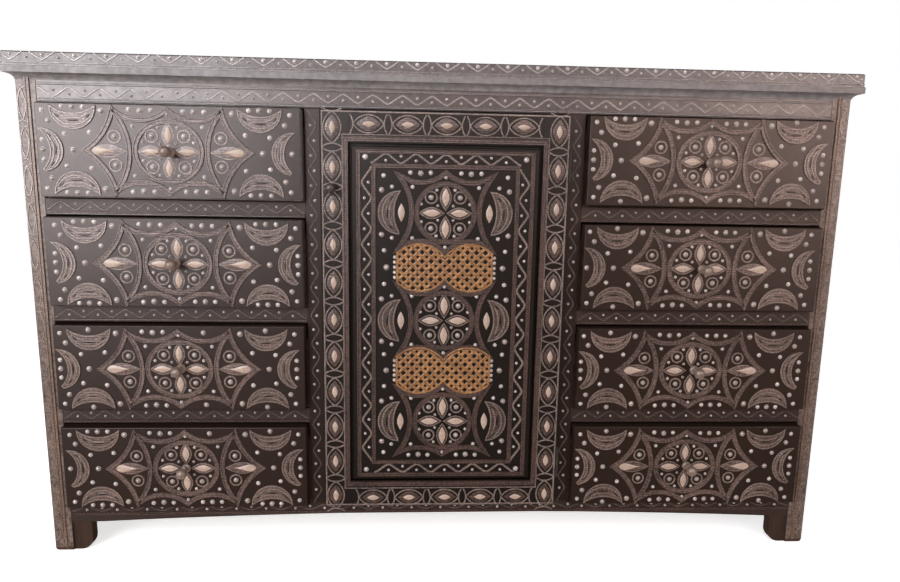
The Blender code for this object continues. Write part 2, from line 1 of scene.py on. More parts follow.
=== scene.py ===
"""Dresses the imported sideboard: embossed metal fronts, bone inlay, wire strips and brass lattices.

Metres, +Z up, and the front faces -Y. Ornament is drawn flat on a face, with u to the right and v up,
and then stands out of that face. Every piece rides on the body that carries it.
"""

import logging
import math
from dataclasses import dataclass, field, replace
from enum import Enum
from functools import cache
from typing import Any, Callable, Iterable, Optional

import bmesh
import bpy
from mathutils import Matrix, Vector


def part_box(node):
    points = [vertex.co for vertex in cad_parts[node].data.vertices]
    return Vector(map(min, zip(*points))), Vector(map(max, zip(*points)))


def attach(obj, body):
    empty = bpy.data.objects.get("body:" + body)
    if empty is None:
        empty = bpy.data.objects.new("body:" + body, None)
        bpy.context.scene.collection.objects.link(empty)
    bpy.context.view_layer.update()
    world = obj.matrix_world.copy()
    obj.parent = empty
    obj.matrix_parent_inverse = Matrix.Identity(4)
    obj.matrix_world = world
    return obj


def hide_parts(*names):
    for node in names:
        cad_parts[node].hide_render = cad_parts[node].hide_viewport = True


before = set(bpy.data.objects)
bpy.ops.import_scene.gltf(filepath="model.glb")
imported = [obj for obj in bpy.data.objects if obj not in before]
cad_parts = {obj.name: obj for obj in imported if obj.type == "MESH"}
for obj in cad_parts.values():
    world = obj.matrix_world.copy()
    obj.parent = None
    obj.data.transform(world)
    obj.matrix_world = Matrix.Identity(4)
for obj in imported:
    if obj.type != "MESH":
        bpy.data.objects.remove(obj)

LOG = logging.getLogger("sideboard")

Point = tuple[float, float]
Path = list[Point]
Change = Callable[[Point], Point]
Color = tuple[float, float, float]

DRAWER_ROWS = (1, 2, 3, 4)
RAIL_ROWS = DRAWER_ROWS[:-1]
MITRE_LIMIT = 0.42
SHARP_ANGLE = math.radians(38)
WELD = 1e-5
EPSILON = 1e-6

# Shares: where a drop is widest, how its curve leans and blunts, and how far a sheet's edge is rounded.
DROP_MIDDLE = 0.64
DROP_LEAN = 2.2
DROP_BLUNT = 0.7
SHEET_ROUND = 0.8


class Side(Enum):
    """The two sides, each with a board and a column of drawers."""

    LEFT = "left"
    RIGHT = "right"

    @property
    def sign(self) -> int:
        """Minus one on the left and one on the right."""
        return -1 if self is Side.LEFT else 1


class Grain(Enum):
    """The way a board's grain runs, as the stretch of its pattern along X, Y and Z."""

    ACROSS = (0.05, 1.0, 1.0)
    UPRIGHT = (1.0, 1.0, 0.05)


class StudKind(Enum):
    """The two kinds of nail head: small bright ones and broad dull ones."""

    BRIGHT = "bright"
    DULL = "dull"


class Graph:
    """A node tree with short ways to add nodes and join them."""

    def __init__(self, tree: bpy.types.NodeTree) -> None:
        """Keeps the tree that the nodes go into."""
        self.tree = tree

    def add(self, kind: str, inputs: Optional[dict[Any, Any]] = None, **settings: Any) -> bpy.types.Node:
        """Adds a node.

        Args:
            kind: the node's type, without its ShaderNode prefix unless it is a group's end.
            inputs: what goes into its sockets, by name or number: a value, or another node's output.
            settings: the node's own properties.

        Returns:
            The new node.
        """
        node = self.tree.nodes.new(kind if kind.startswith("NodeGroup") else "ShaderNode" + kind)
        for name, value in settings.items():
            setattr(node, name, value)
        for key, value in (inputs or {}).items():
            self.put(node.inputs[key], value)
        return node

    def put(self, socket: bpy.types.NodeSocket, value: Any) -> None:
        """Links an output to a socket, or sets the socket to a plain value."""
        if isinstance(value, bpy.types.NodeSocket):
            self.tree.links.new(value, socket)
        elif isinstance(value, tuple) and len(value) == 3 and socket.type == "RGBA":
            socket.default_value = (*value, 1.0)
        else:
            socket.default_value = value

    def math(self, operation: str, first: Any, second: Any = 0.0) -> bpy.types.NodeSocket:
        """The result of one sum on two values."""
        return self.add("Math", {0: first, 1: second}, operation=operation).outputs[0]

    def between(self, share: Any, low: Any, high: Any) -> bpy.types.NodeSocket:
        """A value from low to high as a share goes from nought to one."""
        return self.add("MapRange", {"Value": share, "To Min": low, "To Max": high}).outputs["Result"]

    def spread(self, value: Any, low: float, high: float) -> bpy.types.NodeSocket:
        """A value's stretch from low to high, drawn out to run from nought to one."""
        return self.add("MapRange", {"Value": value, "From Min": low, "From Max": high}).outputs["Result"]

    def weighted(self, first: Any, second: Any, share: float) -> bpy.types.NodeSocket:
        """The sum of a share of the first value and what is left of one of the second."""
        return self.math("ADD", self.math("MULTIPLY", first, share), self.math("MULTIPLY", second, 1 - share))

    def blend(self, share: Any, first: Any, second: Any) -> bpy.types.NodeSocket:
        """The colour between two colours."""
        node = self.add("Mix", {"Factor": share, 6: first, 7: second}, data_type="RGBA")
        return node.outputs[2]

    def place(self) -> bpy.types.NodeSocket:
        """Object coordinates."""
        return self.add("TexCoord").outputs["Object"]

    def noise(self, vector: Any, scale: Any, detail: float = 3.0,
              roughness: float = 0.55) -> bpy.types.NodeSocket:
        """A noise value from nought to one."""
        inputs = {"Vector": vector, "Scale": scale, "Detail": detail, "Roughness": roughness}
        return self.add("TexNoise", inputs).outputs["Fac"]

    def bump(self, height: Any, depth: float, strength: float, normal: Any = None) -> bpy.types.NodeSocket:
        """The normal of a surface that a height raises, on top of another normal where there is one."""
        inputs = {"Height": height, "Distance": depth, "Strength": strength}
        if normal is not None:
            inputs["Normal"] = normal
        return self.add("Bump", inputs).outputs["Normal"]

    def seen(self) -> bpy.types.NodeSocket:
        """One where the camera sees a point, straight or in a reflection, and nought elsewhere."""
        rays = self.add("LightPath").outputs
        return self.math("MAXIMUM", rays["Is Camera Ray"], rays["Is Glossy Ray"])

    def coat(self, shader: bpy.types.Node, color: Any, roughness: Any, specular: float, normal: Any) -> None:
        """Gives a shader its colour, its roughness, its shine and its normal."""
        self.put(shader.inputs["Base Color"], color)
        self.put(shader.inputs["Roughness"], roughness)
        self.put(shader.inputs["Specular IOR Level"], specular)
        self.put(shader.inputs["Normal"], normal)


def new_group(name: str, inlets: dict[str, str], outlets: dict[str, str]) -> tuple[Graph, Any, Any]:
    """Starts a shader node group.

    Args:
        name: the group's name.
        inlets: input names and their socket kinds, such as Float or Color.
        outlets: output names and their socket kinds.

    Returns:
        The group's graph, its input node and its output node.
    """
    tree = bpy.data.node_groups.new(name, "ShaderNodeTree")
    for way, sockets in (("INPUT", inlets), ("OUTPUT", outlets)):
        for socket, kind in sockets.items():
            tree.interface.new_socket(socket, in_out=way, socket_type="NodeSocket" + kind)
    graph = Graph(tree)
    return graph, graph.add("NodeGroupInput"), graph.add("NodeGroupOutput")


@cache
def tarnish_group() -> bpy.types.NodeTree:
    """Tarnish: broad patches from a dark tone to a light one, with fine pits."""
    inlets = {"Dark": "Color", "Light": "Color", "Patches": "Float", "Pits": "Float"}
    outlets = {"Color": "Color", "Tone": "Float", "Height": "Float"}
    graph, inlet, outlet = new_group("tarnish", inlets, outlets)
    place = graph.place()
    patches = graph.noise(place, inlet.outputs["Patches"], detail=5.0, roughness=0.6)
    pits = graph.noise(place, inlet.outputs["Pits"], detail=2.0, roughness=0.5)
    speckled = graph.weighted(graph.spread(patches, 0.32, 0.68), graph.spread(pits, 0.36, 0.64), share=0.40)
    graph.put(outlet.inputs["Color"], graph.blend(speckled, inlet.outputs["Dark"], inlet.outputs["Light"]))
    graph.put(outlet.inputs["Tone"], speckled)
    graph.put(outlet.inputs["Height"], pits)
    return graph.tree


@cache
def hatch_group() -> bpy.types.NodeTree:
    """Chased cross-hatching on an upright face: two sets of slanting lines that waver a little."""
    graph, inlet, outlet = new_group("hatch", {"Pitch": "Float"}, {"Height": "Float"})
    place = graph.place()
    axes = graph.add("SeparateXYZ", {"Vector": place}).outputs
    reach = graph.math("MULTIPLY", inlet.outputs["Pitch"], 4.0)
    waver = graph.math("MULTIPLY", graph.noise(place, 110.0, detail=2.0), reach)
    flat = graph.math("ADD", graph.math("ADD", axes["X"], axes["Y"]), waver)
    turn = graph.math("DIVIDE", math.pi, inlet.outputs["Pitch"])
    waves = []
    for operation in ("ADD", "SUBTRACT"):
        slant = graph.math(operation, flat, axes["Z"])
        waves.append(graph.math("SINE", graph.math("MULTIPLY", slant, turn)))
    graph.put(outlet.inputs["Height"], graph.spread(graph.math("MULTIPLY", *waves), -1.0, 1.0))
    return graph.tree


@cache
def grain_group() -> bpy.types.NodeTree:
    """Wood grain: long streaks and fine pores, along whichever axis the vector is squeezed on."""
    inlets = {"Vector": "Vector", "Dark": "Color", "Light": "Color"}
    graph, inlet, outlet = new_group("grain", inlets, {"Color": "Color", "Height": "Float"})
    streaks = graph.noise(inlet.outputs["Vector"], 38.0, detail=6.0, roughness=0.62)
    pores = graph.noise(inlet.outputs["Vector"], 420.0, detail=2.0, roughness=0.5)
    mixed = graph.weighted(graph.spread(streaks, 0.3, 0.7), pores, share=0.75)
    graph.put(outlet.inputs["Color"], graph.blend(mixed, inlet.outputs["Dark"], inlet.outputs["Light"]))
    graph.put(outlet.inputs["Height"], mixed)
    return graph.tree


@dataclass(frozen=True)
class Finish:
    """A surface finish between two tones. Each kind paints its own nodes."""

    name: str
    dark: Color
    light: Color

    def material(self) -> bpy.types.Material:
        """The finish's material, made the first time it is asked for."""
        found = bpy.data.materials.get(self.name)
        if found:
            return found
        made = bpy.data.materials.new(self.name)
        made.use_nodes = True
        self.paint(Graph(made.node_tree), made.node_tree.nodes["Principled BSDF"])
        return made

    def paint(self, graph: Graph, shader: bpy.types.Node) -> None:
        """Wires the finish's nodes into its shader."""
        raise NotImplementedError


@dataclass(frozen=True)
class Metal(Finish):
    """Tarnished sheet or wire, plain or chased."""

    smoothest: float = 0.32
    roughest: float = 0.42
    patches: float = 13.0
    pits: float = 650.0
    pit_depth: float = 0.0002
    hatch_pitch: float = 0.0
    hatch_depth: float = 0.0003
    groove_tone: float = 0.70
    specular: float = 0.5

    def paint(self, graph: Graph, shader: bpy.types.Node) -> None:
        """Tarnish in the colour, the roughness and the bump, under cross-hatching where there is a pitch."""
        inputs = {"Dark": self.dark, "Light": self.light, "Patches": self.patches, "Pits": self.pits}
        tarnish = graph.add("Group", inputs, node_tree=tarnish_group()).outputs
        color = tarnish["Color"]
        normal = graph.bump(tarnish["Height"], self.pit_depth, strength=0.8)
        if self.hatch_pitch:
            hatch = graph.add("Group", {"Pitch": self.hatch_pitch}, node_tree=hatch_group())
            lines = hatch.outputs["Height"]
            color = graph.blend(graph.between(lines, self.groove_tone, 0.0), color, self.dark)
            normal = graph.bump(lines, self.hatch_depth, strength=0.9, normal=normal)
        roughness = graph.between(tarnish["Tone"], self.roughest, self.smoothest)
        graph.coat(shader, color, roughness, self.specular, normal)


@dataclass(frozen=True)
class ChasedMetal(Metal):
    """Metal with cross-hatching chased into it."""

    hatch_pitch: float = 0.0046


@dataclass(frozen=True)
class Wood(Finish):
    """A matt board with its grain along one way."""

    grain: Grain = Grain.ACROSS
    roughness: float = 0.55
    specular: float = 0.0

    def paint(self, graph: Graph, shader: bpy.types.Node) -> None:
        """Grain in the colour and the bump."""
        inputs = {"Vector": graph.place(), "Scale": self.grain.value}
        squeezed = graph.add("Mapping", inputs).outputs["Vector"]
        inputs = {"Vector": squeezed, "Dark": self.dark, "Light": self.light}
        grain = graph.add("Group", inputs, node_tree=grain_group()).outputs
        normal = graph.bump(grain["Height"], depth=0.0004, strength=0.5)
        graph.coat(shader, grain["Color"], self.roughness, self.specular, normal)


@dataclass(frozen=True)
class Bone(Finish):
    """Polished bone with faint streaks and dark pores."""

    smoothest: float = 0.32
    roughest: float = 0.5
    specular: float = 0.05

    def paint(self, graph: Graph, shader: bpy.types.Node) -> None:
        """Streaks and pores in the colour, with a soft polish."""
        place = graph.place()
        streaks = graph.noise(place, 160.0, detail=4.0)
        pores = graph.noise(place, 900.0, detail=2.0)
        color = graph.blend(streaks, self.dark, self.light)
        pored = graph.blend(graph.spread(pores, 0.3, 0.45), self.dark, color)
        roughness = graph.between(streaks, self.smoothest, self.roughest)
        normal = graph.bump(pores, depth=0.0002, strength=0.4)
        graph.coat(shader, pored, roughness, self.specular, normal)


GROUND = Metal("ground_metal", (0.0105, 0.0050, 0.0030), (0.0215, 0.0100, 0.0062), smoothest=0.30,
               roughest=0.38, specular=0.037)
DEEP_GROUND = Metal("deep_ground", (0.0036, 0.0018, 0.0009), (0.0086, 0.0045, 0.0024), smoothest=0.30,
                    roughest=0.38, specular=0.035)
RAIL_GROUND = Metal("rail_ground", (0.0170, 0.0092, 0.0066), (0.0390, 0.0225, 0.0175), smoothest=0.40,
                    roughest=0.50, specular=0.03)
SMOOTH = Metal("smooth_cladding", (0.030, 0.0200, 0.0165), (0.082, 0.057, 0.048), pits=90.0, specular=0.055)
POST = Metal("post_cladding", (0.048, 0.0320, 0.0245), (0.190, 0.135, 0.111), patches=40.0, pits=160.0,
             specular=0.034)
CORNICE = Metal("cornice_cladding", (0.058, 0.047, 0.0445), (0.116, 0.097, 0.0925), smoothest=0.55,
                roughest=0.65, pits=90.0, specular=0.09)
# Painted light: the cove is the same cladding as the band, painted much paler so that its underside, which
# faces down into shade, renders about as light as the band.
PAINTED_LIGHT_COVE = Metal("cove_cladding_painted_light", (0.150, 0.131, 0.127), (0.275, 0.247, 0.241), pits=90.0, specular=0.03)
EDGE = Metal("edge_cladding", (0.060, 0.047, 0.044), (0.122, 0.101, 0.096), pits=120.0, specular=0.040)
EDGE_BAND = ChasedMetal("edge_band", (0.086, 0.067, 0.062), (0.245, 0.205, 0.194), pits=260.0, specular=0.06)
EDGE_WIRE = ChasedMetal("edge_wire", (0.178, 0.145, 0.135), (0.430, 0.372, 0.357), pits=300.0, specular=0.08)
RAISED = ChasedMetal("chased_metal", (0.023, 0.0128, 0.0100), (0.228, 0.147, 0.122), pits=260.0,
                     specular=0.05)
DEEP_RAISED = ChasedMetal("deep_chased", (0.014, 0.0070, 0.0052), (0.130, 0.074, 0.057), pits=260.0,
                          specular=0.06)
WORN = ChasedMetal("worn_metal", (0.060, 0.0350, 0.0240), (0.280, 0.178, 0.130), pits=260.0, specular=0.045)
WIRE = ChasedMetal("twisted_wire", (0.072, 0.044, 0.034), (0.310, 0.225, 0.185), pits=300.0, specular=0.09)
DEEP_WIRE = ChasedMetal("deep_wire", (0.072, 0.047, 0.038), (0.330, 0.250, 0.213), pits=300.0, specular=0.07)
RAIL_WIRE = ChasedMetal("rail_wire", (0.034, 0.021, 0.017), (0.150, 0.106, 0.088), pits=300.0, specular=0.06)
BRIGHT = Metal("bright_nail", (0.200, 0.157, 0.140), (0.490, 0.420, 0.390), smoothest=0.26, specular=0.15)
DULL = Metal("dull_nail", (0.135, 0.100, 0.085), (0.345, 0.278, 0.245), smoothest=0.30, specular=0.12)
KNOB = Metal("turned_knob", (0.105, 0.069, 0.052), (0.250, 0.178, 0.143), smoothest=0.30, specular=0.05)
DOOR_KNOB = Metal("door_knob_metal", (0.030, 0.0220, 0.0190), (0.078, 0.060, 0.053), smoothest=0.40,
                  specular=0.04)
# Painted glare: the next two finishes light the edges of the two upper left drawers. They stand in for a
# window's haze over them, full on the first and half on the second. The other drawers keep the dark edge
# wood.
PAINTED_GLARE_EDGE = Metal("painted_glare_edge", (0.110, 0.094, 0.090), (0.210, 0.184, 0.178), pits=90.0, specular=0.0)
PAINTED_HALF_GLARE_EDGE = Metal("painted_half_glare_edge", (0.040, 0.030, 0.027), (0.088, 0.068, 0.061), pits=90.0, specular=0.0)
BRASS = Metal("aged_brass", (0.125, 0.053, 0.018), (0.400, 0.190, 0.070), patches=60.0, pits=330.0,
              specular=0.05)
HINGE = Metal("aged_steel", (0.018, 0.014, 0.012), (0.046, 0.037, 0.032), smoothest=0.55, roughest=0.65,
              specular=0.01)
BONE = Bone("camel_bone", (0.256, 0.171, 0.128), (0.534, 0.402, 0.325))
SIDE_WOOD = Wood("stained_upright", (0.030, 0.018, 0.013), (0.100, 0.062, 0.047), grain=Grain.UPRIGHT)
FOOT_WOOD = Wood("stained_foot", (0.022, 0.0130, 0.0095), (0.070, 0.0430, 0.0325), grain=Grain.UPRIGHT)
TOP_WOOD = Wood("stained_across", (0.024, 0.014, 0.010), (0.076, 0.045, 0.034))
EDGE_WOOD = Wood("dark_edge", (0.014, 0.0080, 0.0058), (0.036, 0.0215, 0.0165))
INNER_WOOD = Wood("plain_across", (0.085, 0.045, 0.022), (0.190, 0.105, 0.052), roughness=0.70)


@dataclass(frozen=True)
class Tones:
    """The metal finishes of one area: its hatched bands and plates, its wires and its slits' ground."""

    chased: Finish = RAISED
    wire: Finish = WIRE
    ground: Finish = GROUND


FRONT_TONES = Tones()
DEEP_TONES = Tones(DEEP_RAISED, DEEP_WIRE, DEEP_GROUND)
POST_TONES = Tones(WORN)
EDGE_TONES = Tones(EDGE_BAND, EDGE_WIRE)
RAIL_TONES = Tones(DEEP_RAISED, RAIL_WIRE, RAIL_GROUND)

# The strips on the top's ends are the same metal gone matt, so that no window glares in them from behind.
END = replace(EDGE, name="end_cladding", specular=0.0)
END_TONES = Tones(
    replace(EDGE_BAND, name="end_band", specular=0.0),
    replace(EDGE_WIRE, name="end_wire", specular=0.0),
    replace(GROUND, name="end_ground", specular=0.0),
)


@dataclass(frozen=True, eq=False)
class Face:
    """A flat face that ornament stands on: a point on it, and its ways right and up."""

    origin: Vector
    right: Vector = Vector((1, 0, 0))
    up: Vector = Vector((0, 0, 1))

    @property
    def matrix(self) -> Matrix:
        """Carries u, v and height to the object's own X, Y and Z."""
        columns = (self.right, self.up, self.right.cross(self.up), self.origin)
        return Matrix([[column[row] for column in columns] for row in range(3)] + [[0, 0, 0, 1]])

    @staticmethod
    def front_of(node: str, at_floor: bool = False) -> "Face":
        """The front of a CAD node, with its point in the middle of it or at floor height below that."""
        low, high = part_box(node)
        return Face(Vector(((low.x + high.x) / 2, low.y, 0.0 if at_floor else (low.z + high.z) / 2)))

    @staticmethod
    def behind(node: str) -> "Face":
        """The plane of a CAD node's back, with its point in the middle of it."""
        low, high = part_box(node)
        return Face(Vector(((low.x + high.x) / 2, high.y, (low.z + high.z) / 2)))

    def at_middle(self) -> "Face":
        """The same face, with its point on the object's middle line at floor height."""
        return Face(Vector((0.0, self.origin.y, 0.0)), self.right, self.up)

    def raised(self, height: float) -> "Face":
        """The same face, further out."""
        return Face(self.origin + self.right.cross(self.up) * height, self.right, self.up)


@dataclass(frozen=True)
class Stroke:
    """A line on a face, open or closed, with the width of the wire or band along it."""

    path: Path
    width: float
    closed: bool = False


@dataclass(frozen=True)
class Border:
    """A rectangle of wire or band about the upright middle line."""

    half_width: float
    bottom: float
    top: float
    width: float

    def stroke(self) -> Stroke:
        """The line round it."""
        lower = [(-self.half_width, self.bottom), (self.half_width, self.bottom)]
        upper = [(self.half_width, self.top), (-self.half_width, self.top)]
        return Stroke(lower + upper, self.width, True)


@dataclass(frozen=True)
class Almond:
    """A pointed oval from tip to tip, or a drop whose fat end is at its second tip."""

    start: Point
    end: Point
    width: float
    drop: bool = False

    def middle(self) -> Vector:
        """The middle of its widest part."""
        return Vector(self.start).lerp(Vector(self.end), DROP_MIDDLE if self.drop else 0.5)

    def outline(self, steps: int = 11) -> Path:
        """The points round it, from its first tip."""
        start, end = Vector(self.start), Vector(self.end)
        side = Vector((start.y - end.y, end.x - start.x)).normalized() * self.width / 2
        lean, blunt = (DROP_LEAN, DROP_BLUNT) if self.drop else (1.0, 1.0)
        shares = [step / steps for step in range(1, steps)]
        swell = [max(0.0, math.sin(math.pi * share ** lean)) ** blunt for share in shares]
        upper = [tuple(start.lerp(end, share) + side * size) for share, size in zip(shares, swell)]
        lower = [tuple(start.lerp(end, share) - side * size) for share, size in zip(shares, swell)]
        return [self.start, *lower, self.end, *reversed(upper)]


@dataclass(frozen=True)
class Crescent:
    """A crescent plate: its two tips, and the middles of its outer and inner edges."""

    tips: tuple[Point, Point]
    outer: Point
    inner: Point

    def edges(self) -> tuple[Path, Path]:
        """Its outer and inner edges, from tip to tip."""
        first, last = self.tips
        return bow(first, self.outer, last), bow(first, self.inner, last)

    def between(self, share: float) -> Path:
        """The line at a share of the way from its outer edge to its inner one."""
        return [tuple(Vector(outer).lerp(Vector(inner), share)) for outer, inner in zip(*self.edges())]


@dataclass(frozen=True)
class Stud:
    """A domed nail head."""

    place: Point
    radius: float
    kind: StudKind


@dataclass(frozen=True)
class NailSet:
    """Nail heads of one kind and size, and where they are."""

    kind: StudKind
    radius: float
    places: tuple[Point, ...]


def bow(start: Point, middle: Point, end: Point, steps: int = 14) -> Path:
    """Points along the circular arc from start to end that passes as far out as the middle point."""
    first, last = Vector(start), Vector(end)
    chord = last - first
    half = chord.length / 2
    left = Vector((-chord.y, chord.x)).normalized()
    rise = (Vector(middle) - (first + last) / 2).dot(left)
    radius = (half * half + rise * rise) / (2 * rise)
    centre = (first + last) / 2 + left * (rise - radius)
    sweep = -2 * math.asin(max(-1.0, min(1.0, half / radius)))
    turns = [Matrix.Rotation(sweep * step / steps, 2) for step in range(steps + 1)]
    return [tuple(centre + turn @ (first - centre)) for turn in turns]


def ellipse(centre: Point, radius_u: float, radius_v: float, steps: int) -> Path:
    """Points round an ellipse."""
    angles = [2 * math.pi * step / steps for step in range(steps)]
    return [(centre[0] + radius_u * math.cos(a), centre[1] + radius_v * math.sin(a)) for a in angles]


def straight(length: float, height: float, width: float) -> Stroke:
    """A straight stroke across, with its middle on the upright middle line."""
    return Stroke([(-length / 2, height), (length / 2, height)], width)


@dataclass
class Pattern:
    """Ornament drawn flat: bands, wires, leaf plates, bones, crescents and nail heads."""

    bands: list[Stroke] = field(default_factory=list)
    wires: list[Stroke] = field(default_factory=list)
    leaves: list[Almond] = field(default_factory=list)
    bones: list[Almond] = field(default_factory=list)
    crescents: list[Crescent] = field(default_factory=list)
    studs: list[Stud] = field(default_factory=list)

    def stud(self, kind: StudKind, radius: float, *places: Point) -> None:
        """Adds nail heads of one size."""
        self.studs += [Stud(place, radius, kind) for place in places]

    def nail(self, *sets: NailSet) -> None:
        """Adds sets of nail heads."""
        for group in sets:
            self.stud(group.kind, group.radius, *group.places)

    def ring(self, centre: Point, radius: float, width: float) -> None:
        """Adds a ring of wire."""
        self.wires.append(Stroke(ellipse(centre, radius, radius, steps=24), width, True))

    def wired_leaf(self, leaf: Almond, width: float) -> None:
        """Adds a leaf plate with a wire round it."""
        self.leaves.append(leaf)
        self.wires.append(Stroke(leaf.outline(), width, True))

    def add(self, *others: "Pattern") -> None:
        """Takes in other patterns."""
        for other in others:
            for name in ("bands", "wires", "leaves", "bones", "crescents", "studs"):
                getattr(self, name).extend(getattr(other, name))

    def changed(self, change: Change) -> "Pattern":
        """The pattern with every point moved by a rule."""
        def moved(stroke: Stroke) -> Stroke:
            """A stroke with its points moved."""
            return Stroke([change(point) for point in stroke.path], stroke.width, stroke.closed)

        def turned(almond: Almond) -> Almond:
            """An almond with its tips moved."""
            return Almond(change(almond.start), change(almond.end), almond.width, almond.drop)

        return Pattern(
            [moved(stroke) for stroke in self.bands],
            [moved(stroke) for stroke in self.wires],
            [turned(almond) for almond in self.leaves],
            [turned(almond) for almond in self.bones],
            [Crescent(tuple(map(change, c.tips)), change(c.outer), change(c.inner)) for c in self.crescents],
            [Stud(change(stud.place), stud.radius, stud.kind) for stud in self.studs],
        )

    def shifted(self, u: float, v: float) -> "Pattern":
        """The pattern at another place."""
        return self.changed(lambda point: (point[0] + u, point[1] + v))

    def upright(self) -> "Pattern":
        """The pattern with its length turned from across to upright."""
        return self.changed(lambda point: (point[1], point[0]))

    def mirrored(self, u: int = 1, v: int = 1) -> "Pattern":
        """The pattern turned over across either middle line."""
        return self.changed(lambda point: (u * point[0], v * point[1]))

    def both_sides(self) -> "Pattern":
        """The pattern and its mirror image across the upright middle line."""
        whole = self.shifted(0.0, 0.0)
        whole.add(self.mirrored(u=-1))
        return whole

    def four_ways(self) -> "Pattern":
        """The pattern in all four quarters."""
        half = self.both_sides()
        half.add(half.mirrored(v=-1))
        return half


def new_mesh(name: str, shape: bmesh.types.BMesh) -> bpy.types.Mesh:
    """Turns a bmesh into a mesh, shaded smooth between its sharp edges, and frees it."""
    mesh = bpy.data.meshes.new(name)
    shape.to_mesh(mesh)
    shape.free()
    mesh.shade_smooth()
    mesh.set_sharp_from_angle(angle=SHARP_ANGLE)
    return mesh


def across(path: Path, index: int, closed: bool) -> Matrix:
    """The frame that stands across a path at one of its points.

    Args:
        path: the points of the path.
        index: which point.
        closed: whether the last point joins the first.

    Returns:
        A matrix with X across the path, Y out of the face and Z along the path, stretched at a corner.
    """
    here = Vector(path[index])
    has_before = closed or index > 0
    has_after = closed or index < len(path) - 1
    coming = here - Vector(path[index - 1]) if has_before else Vector(path[1]) - here
    going = Vector(path[(index + 1) % len(path)]) - here if has_after else coming
    along = (coming.normalized() + going.normalized()).normalized()
    stretch = 1 / max(along.dot(going.normalized()), MITRE_LIMIT)
    side = Vector((-along.y, along.x)) * stretch
    return Matrix(((side.x, 0, along.x, here.x), (side.y, 0, along.y, here.y), (0, 1, 0, 0), (0, 0, 0, 1)))


def swept(profile: Path, stroke: Stroke) -> bmesh.types.BMesh:
    """Draws a closed profile along a stroke, extruding ring after ring."""
    shape = bmesh.new()
    frames = [across(stroke.path, index, stroke.closed) for index in range(len(stroke.path))]
    ring = [shape.verts.new(frames[0] @ Vector((u, height, 0.0))) for u, height in profile]
    first = [shape.edges.new(pair) for pair in zip(ring, ring[1:] + ring[:1])]
    last = first
    for old, new in zip(frames, frames[1:]):
        grown = bmesh.ops.extrude_edge_only(shape, edges=last)["geom"]
        verts = [item for item in grown if isinstance(item, bmesh.types.BMVert)]
        last = [item for item in grown if isinstance(item, bmesh.types.BMEdge) and item.is_boundary]
        bmesh.ops.transform(shape, matrix=new @ old.inverted(), verts=verts)
    if stroke.closed:
        bmesh.ops.bridge_loops(shape, edges=first + last)
    else:
        bmesh.ops.contextual_create(shape, geom=first)
        bmesh.ops.contextual_create(shape, geom=last)
    bmesh.ops.recalc_face_normals(shape, faces=shape.faces)
    return shape


def spun(outline: Path, turns: int) -> bmesh.types.BMesh:
    """Spins an outline of radius against height about the axis, and closes what is open below."""
    shape = bmesh.new()
    verts = [shape.verts.new((radius, 0.0, height)) for radius, height in outline]
    edges = [shape.edges.new(pair) for pair in zip(verts, verts[1:])]
    bmesh.ops.spin(shape, geom=verts + edges, axis=(0, 0, 1), cent=(0, 0, 0), dvec=(0, 0, 0),
                   angle=2 * math.pi, steps=turns, use_merge=True)
    bmesh.ops.remove_doubles(shape, verts=shape.verts, dist=WELD)
    bmesh.ops.holes_fill(shape, edges=[edge for edge in shape.edges if edge.is_boundary])
    bmesh.ops.recalc_face_normals(shape, faces=shape.faces)
    return shape


def round_edges(shape: bmesh.types.BMesh, edges: list[bmesh.types.BMEdge], radius: float,
                segments: int) -> None:
    """Rounds some of a shape's edges."""
    bmesh.ops.bevel(shape, geom=edges, offset=radius, segments=segments, profile=0.5, affect="EDGES",
                    material=-1)


def wire_profile(width: float) -> Path:
    """A round wire, half sunk in its ground."""
    half = width / 2
    return [(half * math.cos(math.radians(a)), half * math.sin(math.radians(a))) for a in range(0, 360, 60)]


